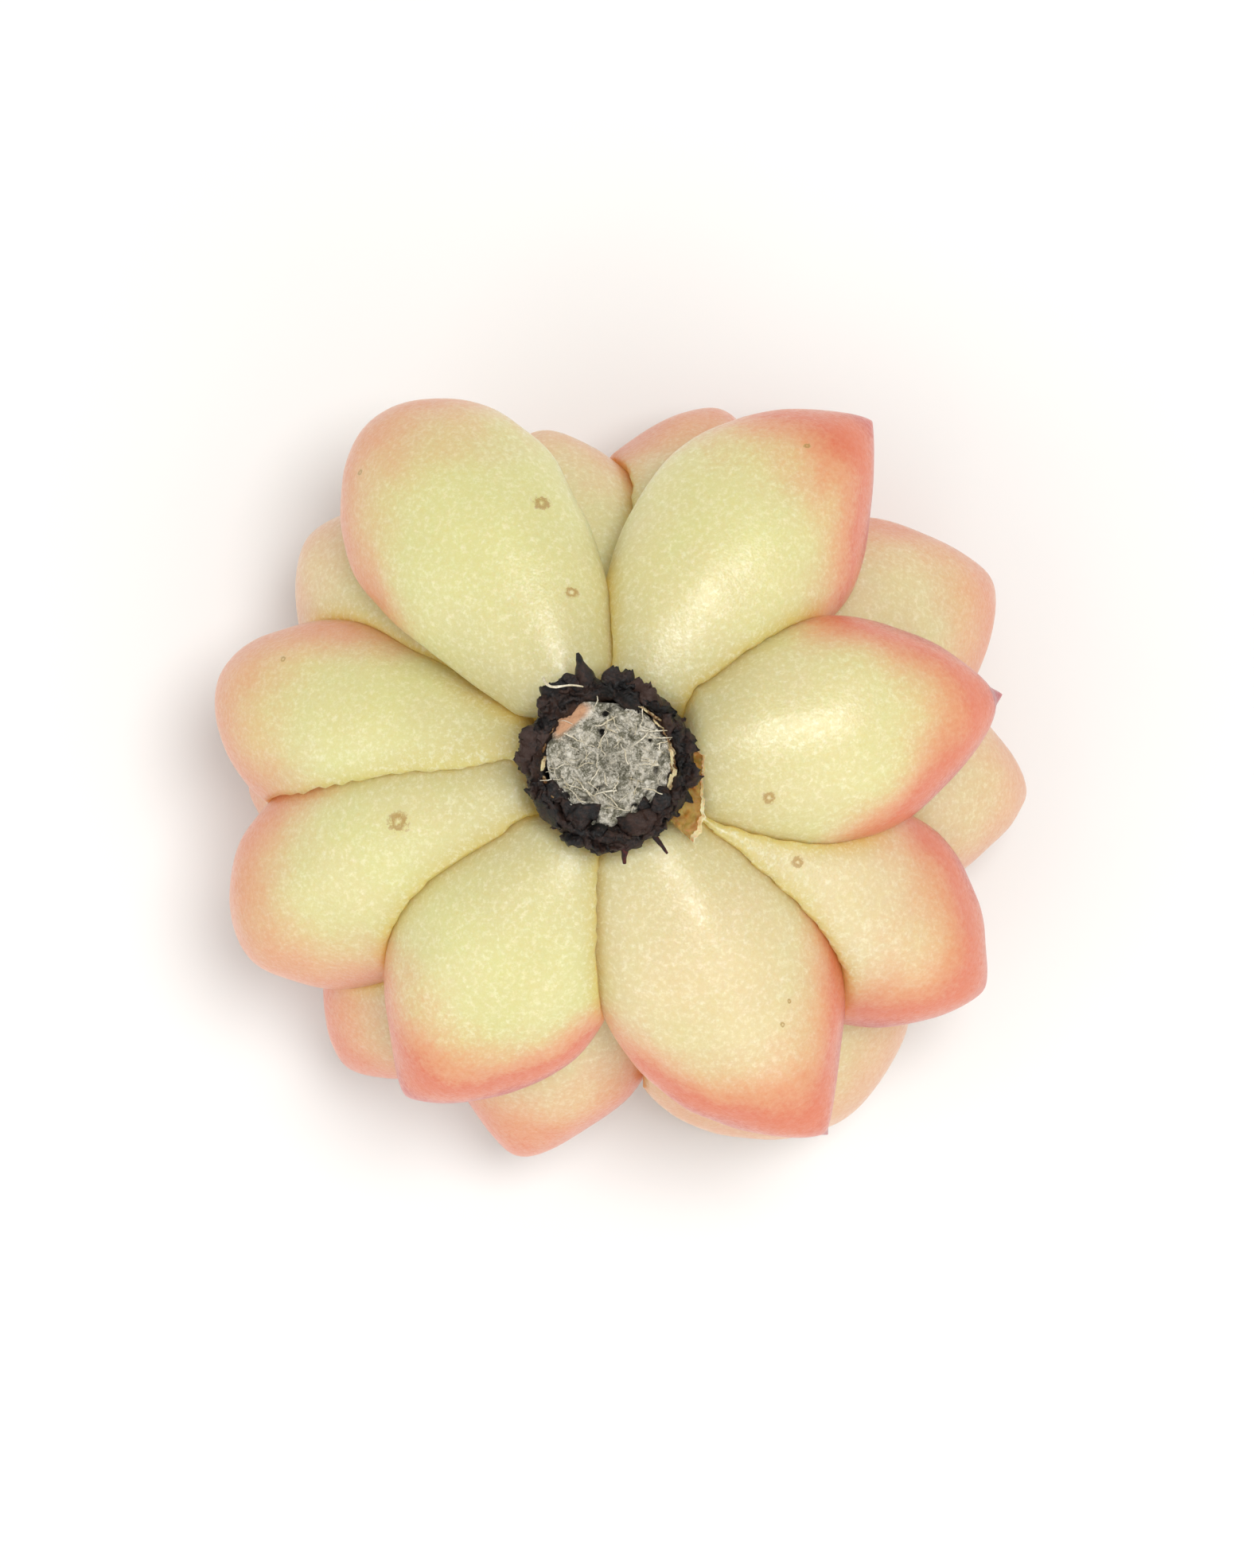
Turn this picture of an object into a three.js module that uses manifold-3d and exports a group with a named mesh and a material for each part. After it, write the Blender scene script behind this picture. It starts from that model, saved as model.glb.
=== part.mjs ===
// A cut echeveria rosette that lies face down on a table, so that its cut stem end points up.
// Lengths are in millimetres and angles in degrees. +Z is up. The origin is on the table, under the middle of
// the rosette's bounding box. Every leaf is a solid of its own on a short woody stem. Where two leaves press on
// each other, the one nearer to the cut keeps its shape and the other takes its print, with a small gap between.
import * as THREE from "three";
import { mergeVertices } from "three/addons/utils/BufferGeometryUtils.js";
import Module from "manifold-3d";

const wasm = await Module();
wasm.setup();

// Driving dimensions. A depth is measured down from the cut face of the stem.
const GAP = 0.3; // free space kept between touching pieces
const REST_DEPTH = 35.2; // from the cut face to the table
const GOLDEN_ANGLE = 137.5; // from one young leaf to the next

const STEM = { radius: 4.45, depth: 21, shoulderDepth: 11.5, endRadius: 1.3, chamfer: 0.4, sides: 20 };

// The usual form of a leaf, for what its own line doesn't state.
const LEAF_FORM = {
  sweep: 0, // how far the leaf turns sideways from its base to its tip
  lean: 0, // sideways bulge, as a share of the half width
  point: 0.8, // 0.5 is a round end, 1 a pointed one
  belly: 0.58, // where the leaf is widest, as a share of its length
  base: 0.5, // width at the stem, as a share of the full width
  flare: 1, // how slowly the leaf widens from its base
  reach: 4.5, // distance from the stem's axis to the leaf's base
  thick: 7.5,
};
const INNER_SHARE = 0.38; // share of the thickness on the leaf's inner side, which faces the table
const CUPPING = 0.8; // how far a leaf's margins bend to its inner side
const BASE_ROUNDING = 0.07; // share of the length over which the base rounds off
const BASE_DEPTH_SHARE = 0.72; // thickness at the stem, as a share of the full thickness
const MIDRIB_STEPS = 40;

// The leaves nearest to the cut face, uppermost first. az is the compass angle from +X. pitch and tipPitch
// are how steeply the leaf slopes down at its base and at its tip.
const OUTER_LEAVES = [
  {
    az: 6, down: 6, pitch: 0, tipPitch: 36, length: 24.2, width: 16.4,
    sweep: 9, point: 1, belly: 0.5, lean: 0.1, flare: 0.85, reach: 5.2,
  },
  {
    az: -68, down: 6.3, pitch: 2, tipPitch: 38, length: 28.5, width: 17,
    sweep: 20, point: 0.95, belly: 0.5, lean: 0.12,
  },
  {
    az: -114, down: 6.5, pitch: 2, tipPitch: 48, length: 26.6, width: 16.6,
    sweep: -13, point: 1, belly: 0.5, base: 0.45, lean: -0.06,
  },
  {
    az: 119, down: 6.5, pitch: 2, tipPitch: 48, length: 28.7, width: 17,
    sweep: 19, point: 0.5, belly: 0.6, base: 0.42, lean: -0.03,
  },
  {
    az: 63, down: 7, pitch: 4, tipPitch: 38, length: 29.2, width: 16.4,
    sweep: -24, point: 0.85, belly: 0.55, base: 0.48, lean: -0.03,
  },
  {
    az: -160, down: 8, pitch: 8, tipPitch: 48, length: 29, width: 15.8,
    sweep: 17, point: 0.55, belly: 0.62,
  },
  {
    az: -33, down: 8, pitch: 8, tipPitch: 40, length: 30.2, width: 15.8,
    sweep: 5, belly: 0.62, lean: 0.08,
  },
  {
    az: 176, down: 8.5, pitch: 8, tipPitch: 48, length: 28, width: 15.4,
    sweep: -26, point: 0.55, belly: 0.64, base: 0.42,
  },
];
const SECOND_LEAVES = [
  { az: 28, down: 11, pitch: 18, tipPitch: 48, length: 32.6, width: 18, sweep: -7 },
  { az: 143, down: 11, pitch: 20, tipPitch: 50, length: 28.6, width: 17 },
  { az: 102, down: 11, pitch: 20, tipPitch: 50, length: 24.5, width: 15 },
  { az: -131, down: 11, pitch: 20, tipPitch: 48, length: 30.5, width: 16 },
  { az: -103, down: 11.5, pitch: 20, tipPitch: 48, length: 30.5, width: 16 },
  { az: 72, down: 11.5, pitch: 20, tipPitch: 50, length: 27.8, width: 16 },
  { az: -57, down: 11.5, pitch: 20, tipPitch: 48, length: 31.5, width: 21.5, point: 0.6 },
  { az: -4, down: 12, pitch: 18, tipPitch: 48, length: 32, width: 17 },
  { az: 184, down: 12, pitch: 24, tipPitch: 52, length: 28, width: 16 },
];
// The young leaves follow one spiral. Each size runs from its first number to its second along it.
const YOUNG_LEAVES = {
  count: 18,
  firstAz: 50,
  standing: 9, // the first ones are the ring whose tips touch the table
  sizes: {
    down: [13.5, 24],
    pitch: [36, 80],
    tipPitch: [66, 104],
    length: [26.5, 8.5],
    width: [16.5, 3.8],
    thick: [7.2, 2.2],
    reach: [4, 0.9],
  },
};

// The dead bark is a crooked collar around the top of the stem. Its outline waves in and out by `jag`.
const BARK = { inner: STEM.radius + GAP, outer: 6.1, top: -0.3, bottom: -3, jag: 0.3, waves: 9, sides: 27 };
// Dried stubs of roots that grew out through the bark.
const ROOTS = [
  { az: 106, depth: 1.7, length: 2.2, radius: 0.75, rise: 14 },
  { az: -81, depth: 1.7, length: 1.7, radius: 0.35, rise: 4 },
  { az: -57, depth: 1.6, length: 1.8, radius: 0.3, rise: 4 },
];
// What is left of a dried leaf base: a thin curled flake beside the bark.
const HUSK = { az: -33, depth: 1.6, radius: 7.3, spread: 34, height: 1.9, wall: 0.4 };

const OUTER_MESH = { sides: 12, rings: 9 };
const YOUNG_MESH = { sides: 10, rings: 7 };

const LEAF_COLOUR = 0xe6dfa8;
const YOUNG_LEAF_COLOUR = 0xd9dda0;
const PITH_COLOUR = 0xb9b09a;
const BARK_COLOUR = 0x2a1c17;
const HUSK_COLOUR = 0xc9a66b;
const ROOT_COLOUR = 0x4a1f1a;

const finish = (color, roughness) => new THREE.MeshStandardMaterial({ color, roughness, metalness: 0 });
const radians = THREE.MathUtils.degToRad;
const lerp = THREE.MathUtils.lerp;

// Points of a leaf's midrib, each with its direction (along), its sideways axis (across) and the direction
// that the leaf's convex side faces (back).
function midribOf(leaf) {
  const frames = [];
  const start = radians(leaf.az);
  const place = new THREE.Vector3(leaf.reach * Math.cos(start), leaf.reach * Math.sin(start), -leaf.down);
  for (let i = 0; i <= MIDRIB_STEPS; i++) {
    const u = i / MIDRIB_STEPS;
    const heading = radians(leaf.az + leaf.sweep * u);
    const slope = radians(lerp(leaf.pitch, leaf.tipPitch, u));
    const along = new THREE.Vector3(Math.cos(heading), Math.sin(heading), 0)
      .multiplyScalar(Math.cos(slope))
      .setZ(-Math.sin(slope));
    const across = new THREE.Vector3(-Math.sin(heading), Math.cos(heading), 0);
    const back = new THREE.Vector3().crossVectors(along, across);
    if (i > 0) {
      const half = leaf.length / MIDRIB_STEPS / 2;
      place.addScaledVector(frames[i - 1].along, half).addScaledVector(along, half);
    }
    frames.push({ place: place.clone(), along, across, back });
  }
  return frames;
}

// A leaf's width and thickness, as shares of its largest ones, at u of its length from the stem.
function leafSection(leaf, u) {
  const rounding = u < BASE_ROUNDING ? Math.sqrt(1 - (1 - u / BASE_ROUNDING) ** 2) : 1;
  if (u < leaf.belly) {
    const swell = Math.sin((Math.PI / 2) * (u / leaf.belly));
    const wide = lerp(leaf.base, 1, swell ** leaf.flare);
    const deep = lerp(BASE_DEPTH_SHARE, 1, swell);
    return { wide: rounding * wide, deep: rounding * deep };
  }
  const x = Math.min(1, (u - leaf.belly) / (1 - leaf.belly));
  return { wide: (1 - x ** 1.9) ** leaf.point, deep: (1 - x ** 2.4) ** 0.62 };
}

// Bends a sphere along the midrib. Its poles become the leaf's base and tip, its parallels the cross sections.
function leafGeometry(leaf, { sides, rings }) {
  const frames = midribOf(leaf);
  const geometry = closed(new THREE.SphereGeometry(1, sides, rings));
  const at = geometry.attributes.position;
  const v = new THREE.Vector3();
  for (let i = 0; i < at.count; i++) {
    v.fromBufferAttribute(at, i);
    const u = THREE.MathUtils.clamp((1 - v.y) / 2, 0, 1);
    const radius = Math.max(Math.hypot(v.x, v.z), 1e-9);
    const side = v.x / radius;
    const lift = v.z / radius;
    const { wide, deep } = leafSection(leaf, u);
    const share = lift > 0 ? 1 - INNER_SHARE : INNER_SHARE;
    const sideways = (leaf.width / 2) * wide * (side + leaf.lean * wide * u);
    const outwards = leaf.thick * share * deep * lift - CUPPING * side * side * wide;
    const step = Math.min(MIDRIB_STEPS - 1, Math.floor(u * MIDRIB_STEPS));
    const part = u * MIDRIB_STEPS - step;
    const [near, far] = [frames[step], frames[step + 1]];
    const point = near.place.clone().lerp(far.place, part);
    point.addScaledVector(near.across.clone().lerp(far.across, part), sideways);
    point.addScaledVector(near.back.clone().lerp(far.back, part), outwards);
    at.setXYZ(i, point.x, point.y, point.z);
  }
  return geometry;
}

// The same shape with its shared vertices merged, so that its surface is closed.
function closed(geometry) {
  const bare = geometry.clone();
  bare.deleteAttribute("normal");
  bare.deleteAttribute("uv");
  return mergeVertices(bare, 1e-4);
}

// The same shape, a little larger all round.
function grown(geometry, distance) {
  const larger = geometry.clone();
  larger.computeVertexNormals();
  const { position, normal } = larger.attributes;
  const point = new THREE.Vector3();
  const outwards = new THREE.Vector3();
  for (let i = 0; i < position.count; i++) {
    outwards.fromBufferAttribute(normal, i);
    point.fromBufferAttribute(position, i).addScaledVector(outwards, distance);
    position.setXYZ(i, point.x, point.y, point.z);
  }
  larger.deleteAttribute("normal");
  return larger;
}

function solidOf(geometry) {
  const mesh = new wasm.Mesh({
    numProp: 3,
    vertProperties: new Float32Array(geometry.attributes.position.array),
    triVerts: new Uint32Array(geometry.index.array),
  });
  return new wasm.Manifold(mesh);
}

function geometryOf(solid) {
  const mesh = solid.getMesh();
  return new THREE.BufferGeometry()
    .setAttribute("position", new THREE.BufferAttribute(new Float32Array(mesh.vertProperties), 3))
    .setIndex(new THREE.BufferAttribute(new Uint32Array(mesh.triVerts), 1));
}

const boxOf = (geometry) => new THREE.Box3().setFromBufferAttribute(geometry.attributes.position);

// Cuts a piece back from every piece placed before it, and keeps the largest body that is left.
const placed = [];
function fitted(geometry) {
  const box = boxOf(geometry).expandByScalar(GAP);
  const near = placed.filter((other) => box.intersectsBox(other.box));
  const solid = near.reduce((left, other) => left.subtract(other.grown), solidOf(geometry));
  placed.push({ box: boxOf(geometry), grown: solidOf(grown(geometry, GAP)) });
  const bodies = solid.decompose().sort((a, b) => b.volume() - a.volume());
  return geometryOf(bodies[0]);
}

const rosette = new THREE.Group();
const plant = new THREE.Group(); // its origin is the middle of the cut face
rosette.add(plant);

function add(name, geometry, material) {
  const mesh = new THREE.Mesh(fitted(geometry), material);
  mesh.name = name;
  plant.add(mesh);
}

// A ring or rod turned about the vertical axis, from a list of [radius, height].
function turned(profile, sides) {
  const points = profile.map(([radius, height]) => new THREE.Vector2(radius, height));
  return closed(new THREE.LatheGeometry(points, sides).rotateX(Math.PI / 2));
}

function stemGeometry({ radius, depth, shoulderDepth, endRadius, chamfer, sides }) {
  const profile = [
    [0, -depth],
    [endRadius, -depth],
    [radius, -shoulderDepth],
    [radius, -chamfer],
    [radius - chamfer, 0],
    [0, 0],
  ];
  return turned(profile, sides);
}

function barkGeometry({ inner, outer, top, bottom, jag, waves, sides }) {
  const profile = [
    [inner, bottom],
    [outer - 0.4, bottom],
    [outer, lerp(top, bottom, 0.5)],
    [outer - 0.25, top - 0.5],
    [inner + 0.6, top],
    [inner, top - 0.4],
    [inner, bottom],
  ];
  const collar = turned(profile, sides);
  const at = collar.attributes.position;
  for (let i = 0; i < at.count; i++) {
    const radius = Math.hypot(at.getX(i), at.getY(i));
    const turn = Math.atan2(at.getY(i), at.getX(i));
    if (radius < inner + GAP) continue;
    const stretch = 1 + (jag * (Math.sin(waves * turn) + 0.6 * Math.sin(5 * turn + 1))) / radius;
    at.setXYZ(i, at.getX(i) * stretch, at.getY(i) * stretch, at.getZ(i));
  }
  return collar;
}

function rootGeometry({ az, depth, length, radius, rise }) {
  const start = BARK.outer + 1.6 * BARK.jag + GAP;
  return closed(new THREE.ConeGeometry(radius, length, 7))
    .rotateZ(-Math.PI / 2)
    .rotateY(-radians(rise))
    .translate(start + length / 2, 0, -depth)
    .rotateZ(radians(az));
}

function huskGeometry({ az, depth, radius, spread, height, wall }) {
  const half = radians(spread / 2);
  const outline = new THREE.Shape();
  outline.absarc(0, 0, radius + wall, -half, half, false);
  outline.absarc(0, 0, radius, half, -half, true);
  outline.closePath();
  return closed(new THREE.ExtrudeGeometry(outline, { depth: height, bevelEnabled: false, curveSegments: 6 }))
    .translate(0, 0, -depth - height)
    .rotateZ(radians(az));
}

function addLeaf(name, ownForm, mesh, colour, standing = false) {
  const geometry = leafGeometry({ ...LEAF_FORM, ...ownForm }, mesh);
  if (standing) geometry.translate(0, 0, -REST_DEPTH - boxOf(geometry).min.z);
  add(name, geometry, finish(colour, 0.45));
}

add("stem", stemGeometry(STEM), finish(PITH_COLOUR, 0.9));
OUTER_LEAVES.forEach((leaf, i) => addLeaf(`outer_leaf_${i + 1}`, leaf, OUTER_MESH, LEAF_COLOUR));
SECOND_LEAVES.forEach((leaf, i) => addLeaf(`second_leaf_${i + 1}`, leaf, OUTER_MESH, LEAF_COLOUR));
for (let i = 0; i < YOUNG_LEAVES.count; i++) {
  const leaf = { az: YOUNG_LEAVES.firstAz + GOLDEN_ANGLE * i };
  for (const [size, [first, last]] of Object.entries(YOUNG_LEAVES.sizes)) {
    leaf[size] = lerp(first, last, i / (YOUNG_LEAVES.count - 1));
  }
  addLeaf(`young_leaf_${i + 1}`, leaf, YOUNG_MESH, YOUNG_LEAF_COLOUR, i < YOUNG_LEAVES.standing);
}
add("bark_collar", barkGeometry(BARK), finish(BARK_COLOUR, 0.7));
ROOTS.forEach((root, i) => add(`root_stub_${i + 1}`, rootGeometry(root), finish(ROOT_COLOUR, 0.6)));
add("leaf_husk", huskGeometry(HUSK), finish(HUSK_COLOUR, 0.6));

// Stand the plant on the table, with the middle of its box over the origin.
const bounds = new THREE.Box3().setFromObject(plant);
const middle = bounds.getCenter(new THREE.Vector3());
plant.position.set(-middle.x, -middle.y, -bounds.min.z);

export default rosette;
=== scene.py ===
"""A cut echeveria rosette that lies face down, finished over its CAD frame.

The plant's own frame has its origin in the middle of the stem's cut face, with the leaves below it. Sizes
are in millimetres and degrees, and become metres and radians where a mesh is made.
"""

import logging
import math
from dataclasses import dataclass, field
from enum import Enum
from typing import Any

import bpy
import numpy as np
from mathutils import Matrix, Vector, noise
from mathutils.bvhtree import BVHTree


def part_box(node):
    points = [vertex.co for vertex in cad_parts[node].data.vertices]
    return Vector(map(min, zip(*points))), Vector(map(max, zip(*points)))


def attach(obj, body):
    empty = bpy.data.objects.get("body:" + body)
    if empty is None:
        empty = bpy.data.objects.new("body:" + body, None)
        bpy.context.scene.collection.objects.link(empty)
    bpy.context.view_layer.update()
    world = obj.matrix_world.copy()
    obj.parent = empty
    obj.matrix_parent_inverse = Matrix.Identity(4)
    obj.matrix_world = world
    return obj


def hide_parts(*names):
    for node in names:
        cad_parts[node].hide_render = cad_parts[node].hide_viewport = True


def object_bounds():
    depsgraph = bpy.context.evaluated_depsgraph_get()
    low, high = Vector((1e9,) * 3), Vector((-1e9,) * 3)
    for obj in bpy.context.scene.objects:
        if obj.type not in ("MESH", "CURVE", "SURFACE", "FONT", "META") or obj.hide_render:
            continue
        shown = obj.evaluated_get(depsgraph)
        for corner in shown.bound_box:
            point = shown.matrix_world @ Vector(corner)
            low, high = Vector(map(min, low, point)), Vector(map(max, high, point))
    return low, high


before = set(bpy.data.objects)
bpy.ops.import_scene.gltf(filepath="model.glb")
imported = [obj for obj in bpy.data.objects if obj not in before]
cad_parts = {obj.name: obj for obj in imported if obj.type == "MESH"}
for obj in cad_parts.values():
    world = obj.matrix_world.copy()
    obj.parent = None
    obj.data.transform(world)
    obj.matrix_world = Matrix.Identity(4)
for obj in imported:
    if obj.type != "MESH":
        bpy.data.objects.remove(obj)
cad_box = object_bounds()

log = logging.getLogger("rosette")

MM = 0.001
BODY = "root"
GOLDEN_ANGLE = 137.5
NOISE_SEED = 4
MIDRIB_POINTS = 61


def linear(colour: str) -> tuple[float, float, float, float]:
    """Turns an sRGB hex colour into linear red, green, blue and alpha.

    Args:
        colour: The colour as "#rrggbb".

    Returns:
        The linear colour with alpha 1.
    """
    parts = [int(colour[i : i + 2], 16) / 255 for i in (1, 3, 5)]
    red, green, blue = [c / 12.92 if c <= 0.04045 else ((c + 0.055) / 1.055) ** 2.4 for c in parts]
    return red, green, blue, 1.0


def add_node(
    tree: bpy.types.NodeTree, kind: str, feeds: dict[Any, Any] | None = None, **settings: Any
) -> bpy.types.Node:
    """Adds a node with its settings and what feeds its inputs.

    Args:
        tree: The node tree to add to.
        kind: The node's type name.
        feeds: For each input's name or number, a value, a socket, or a node whose first output is meant.
        settings: The node's own properties.

    Returns:
        The new node.
    """
    node = tree.nodes.new(kind)
    for name, value in settings.items():
        setattr(node, name, value)
    for key, source in (feeds or {}).items():
        socket = node.inputs[key] if isinstance(key, int) else live_socket(node.inputs, key)
        if isinstance(source, bpy.types.Node):
            source = next(s for s in source.outputs if s.enabled)
        if isinstance(source, bpy.types.NodeSocket):
            tree.links.new(source, socket)
        else:
            socket.default_value = source
    return node


def live_socket(sockets: Any, name: str) -> bpy.types.NodeSocket:
    """The enabled socket of that name, because some nodes hold one for each data type."""
    return next(s for s in sockets if s.name == name and s.enabled)


def work_out(tree: bpy.types.NodeTree, known: dict[str, Any], steps: list[tuple]) -> dict[str, Any]:
    """Adds a formula to a tree as one Math node for each step.

    Args:
        tree: The node tree to add to.
        known: Values and sockets by name.
        steps: For each new value its name, its operation, and its operands as names or numbers.

    Returns:
        The known values with the new ones.
    """
    values = dict(known)
    for name, operation, *operands in steps:
        feeds = {i: values[o] if isinstance(o, str) else o for i, o in enumerate(operands)}
        values[name] = add_node(tree, "ShaderNodeMath", feeds, operation=operation).outputs[0]
    return values


def start_material(name: str) -> tuple[bpy.types.Material, bpy.types.NodeTree]:
    """A new material of that name, and its tree with no nodes."""
    material = bpy.data.materials.new(name)
    material.use_nodes = True
    material.node_tree.nodes.clear()
    return material, material.node_tree


def paint(tree: bpy.types.NodeTree, colour: Any, *coats: tuple[Any, str]) -> Any:
    """Lays colours over one another.

    Args:
        tree: The material's tree.
        colour: The lowest colour, as a value or a socket.
        coats: For each colour over it, its share as a value or a socket, and its hex colour.

    Returns:
        The socket of the colour that is seen.
    """
    for share, over in coats:
        feeds = {"Factor": share, "A": colour, "B": linear(over)}
        mix = add_node(tree, "ShaderNodeMix", feeds, data_type="RGBA")
        colour = live_socket(mix.outputs, "Result")
    return colour


def wobble(tree: bpy.types.NodeTree, grain: float, strength: Any, detail: float, place: Any = None) -> Any:
    """Works out a smooth, uneven offset for a Geometry Nodes tree.

    Args:
        tree: The tree.
        grain: The size of its waves, in mm.
        strength: How strong it is, in metres, as a value or a socket.
        detail: The detail of the noise.
        place: Where the noise is read, if not at each point's own place.

    Returns:
        The node whose output is the offset.
    """
    feeds = {"Scale": 1 / (grain * MM), "Detail": detail}
    if place is not None:
        feeds["Vector"] = place
    waves = add_node(tree, "ShaderNodeTexNoise", feeds)
    feeds = {0: live_socket(waves.outputs, "Color"), 1: (0.5, 0.5, 0.5)}
    centred = add_node(tree, "ShaderNodeVectorMath", feeds, operation="SUBTRACT")
    return add_node(tree, "ShaderNodeVectorMath", {"Vector": centred, "Scale": strength}, operation="SCALE")


class Kind(Enum):
    """Socket types of a tree's inputs."""

    NUMBER = "NodeSocketFloat"
    COUNT = "NodeSocketInt"
    VECTOR = "NodeSocketVector"
    FINISH = "NodeSocketMaterial"


def new_tree(name: str, inputs: dict[str, Kind]) -> tuple[bpy.types.NodeTree, dict[str, Any]]:
    """Starts a Geometry Nodes tree.

    Args:
        name: The tree's name.
        inputs: The kind of each input by its name.

    Returns:
        The tree, and its inputs' sockets by name.
    """
    tree = bpy.data.node_groups.new(name, "GeometryNodeTree")
    for label, kind in inputs.items():
        tree.interface.new_socket(label, in_out="INPUT", socket_type=kind.value)
    tree.interface.new_socket("Geometry", in_out="OUTPUT", socket_type="NodeSocketGeometry")
    entry = add_node(tree, "NodeGroupInput")
    return tree, {label: entry.outputs[label] for label in inputs}


def end_tree(tree: bpy.types.NodeTree, geometry: Any, finish: Any) -> None:
    """Ends a tree in real, smooth-shaded geometry with its finish.

    Args:
        tree: The tree.
        geometry: The node or socket with the geometry.
        finish: The socket with the material.
    """
    real = add_node(tree, "GeometryNodeRealizeInstances", {"Geometry": geometry})
    smooth = add_node(tree, "GeometryNodeSetShadeSmooth", {"Geometry": real})
    dressed = add_node(tree, "GeometryNodeSetMaterial", {"Geometry": smooth, "Material": finish})
    add_node(tree, "NodeGroupOutput", {"Geometry": dressed})


def grow(tree: bpy.types.NodeTree, values: dict[str, Any]) -> bpy.types.Mesh:
    """Runs a Geometry Nodes tree with its inputs set, and returns what it makes as a plain mesh.

    Args:
        tree: The tree to run.
        values: The value of each input by its name.

    Returns:
        The mesh, with no modifier left.
    """
    holder = bpy.data.objects.new("holder", bpy.data.meshes.new("holder"))
    bpy.context.scene.collection.objects.link(holder)
    modifier = holder.modifiers.new("grow", "NODES")
    modifier.node_group = tree
    for item in tree.interface.items_tree:
        if item.in_out == "INPUT" and item.name in values:
            modifier[item.identifier] = values[item.name]
    bpy.context.view_layer.update()
    graph = bpy.context.evaluated_depsgraph_get()
    grown = holder.evaluated_get(graph)
    mesh = bpy.data.meshes.new_from_object(grown, preserve_all_data_layers=True, depsgraph=graph)
    bpy.data.objects.remove(holder)
    return mesh


def add_piece(name: str, mesh: bpy.types.Mesh, slot: str, *nodes: str) -> bpy.types.Object:
    """Puts a finished mesh into the scene as a piece of the object.

    Args:
        name: The piece's name.
        mesh: Its mesh, in the row frame, in metres.
        slot: The record's material slot that its finish belongs to. Not used.
        nodes: The CAD nodes that it stands for.

    Returns:
        The piece.
    """
    piece = bpy.data.objects.new(name, mesh)
    mesh.name = name
    bpy.context.scene.collection.objects.link(piece)
    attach(piece, BODY)
    if nodes:
        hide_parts(*nodes)
    log.info("%s: %d faces", name, len(mesh.polygons))
    return piece


def mesh_points(mesh: bpy.types.Mesh) -> np.ndarray:
    """The mesh's points as an array of rows."""
    flat = np.zeros(len(mesh.vertices) * 3)
    mesh.vertices.foreach_get("co", flat)
    return flat.reshape(-1, 3)


def move_points(mesh: bpy.types.Mesh, points: np.ndarray) -> None:
    """Gives the mesh's points new places."""
    mesh.vertices.foreach_set("co", points.ravel())
    mesh.update()


def read_numbers(mesh: bpy.types.Mesh, name: str) -> np.ndarray:
    """A number attribute of the mesh's points as an array."""
    flat = np.zeros(len(mesh.vertices))
    mesh.attributes[name].data.foreach_get("value", flat)
    return flat


def write_numbers(mesh: bpy.types.Mesh, name: str, values: np.ndarray) -> None:
    """Stores one number for each of the mesh's points."""
    layer = mesh.attributes.get(name) or mesh.attributes.new(name, "FLOAT", "POINT")
    layer.data.foreach_set("value", values.astype(np.float32))


@dataclass(frozen=True)
class Scar:
    """A small healed mark on a leaf's back."""

    along: float  # mm from the stem
    across: float  # mm from the midrib
    size: float  # mm


@dataclass(frozen=True)
class Leaf:
    """The form and colouring of one leaf, from its place on the stem to its tip."""

    az: float
    down: float
    pitch: float
    tip_pitch: float
    length: float
    width: float
    sweep: float = 0.0
    lean: float = 0.0
    point: float = 0.8
    belly: float = 0.58
    base: float = 0.5
    flare: float = 1.0
    reach: float = 4.5
    thick: float = 7.5
    cupping: float = 0.8
    mucro: float = 0.0
    blush: float = 0.6
    bias: float = 0.0
    warmth: float = 0.3
    green: float = 0.0
    scars: tuple[Scar, ...] = ()


class Layer(Enum):
    """The rosette's layers, from the cut end down, with their leaves' mesh counts (sides, rings)."""

    OUTER = ("outer_leaf", 84, 76)
    SECOND = ("second_leaf", 76, 68)
    YOUNG = ("young_leaf", 48, 44)


OUTER_LEAVES = (
    Leaf(6, 6, 0, 36, 24.2, 15.8, sweep=10, point=0.8, belly=0.5, lean=0.1, flare=0.85, reach=5.2,
         mucro=1.2, blush=1.2, warmth=0.25, scars=(Scar(5.2, -3.6, 0.8),)),
    Leaf(-68, 6.3, 2, 38, 28.5, 17, sweep=20, point=0.95, belly=0.5, lean=0.12,
         mucro=0.7, blush=1.2, warmth=0.75, scars=(Scar(16.5, 2.5, 0.35), Scar(15.5, 3.8, 0.3))),
    Leaf(-114, 6.5, 2, 48, 26.6, 16.6, sweep=-18, point=1, belly=0.5, base=0.45, lean=-0.06,
         mucro=0.4, blush=1.65, bias=0.45, warmth=0.1),
    Leaf(118, 6.5, 2, 48, 28.7, 16.4, sweep=20, bias=0.5, point=0.5, belly=0.6, base=0.42, lean=-0.03,
         blush=0.6, warmth=0.0, scars=(Scar(12.5, -5.6, 0.9), Scar(6.4, -3.6, 0.7), Scar(23, 2.6, 0.4))),
    Leaf(63, 7, 4, 38, 29.4, 16.4, sweep=-25, bias=-0.5, point=1.1, belly=0.54, base=0.48, lean=-0.03,
         blush=1.35, warmth=0.2, scars=(Scar(21, 1.5, 0.4),)),
    Leaf(-160, 8, 8, 48, 29, 15.8, sweep=17, point=0.55, belly=0.62,
         blush=0.65, warmth=0.2, scars=(Scar(9.5, -1.8, 1.4),)),
    Leaf(-33, 8, 8, 40, 30.2, 15.8, sweep=5, belly=0.62, lean=0.08,
         blush=1.15, warmth=0.85, scars=(Scar(9.5, 1.2, 0.8),)),
    Leaf(178, 8.5, 8, 48, 28, 14.8, sweep=-28, point=0.55, belly=0.64, base=0.42,
         blush=0.6, warmth=0.1, scars=(Scar(20, -3, 0.45),)),
)
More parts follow.
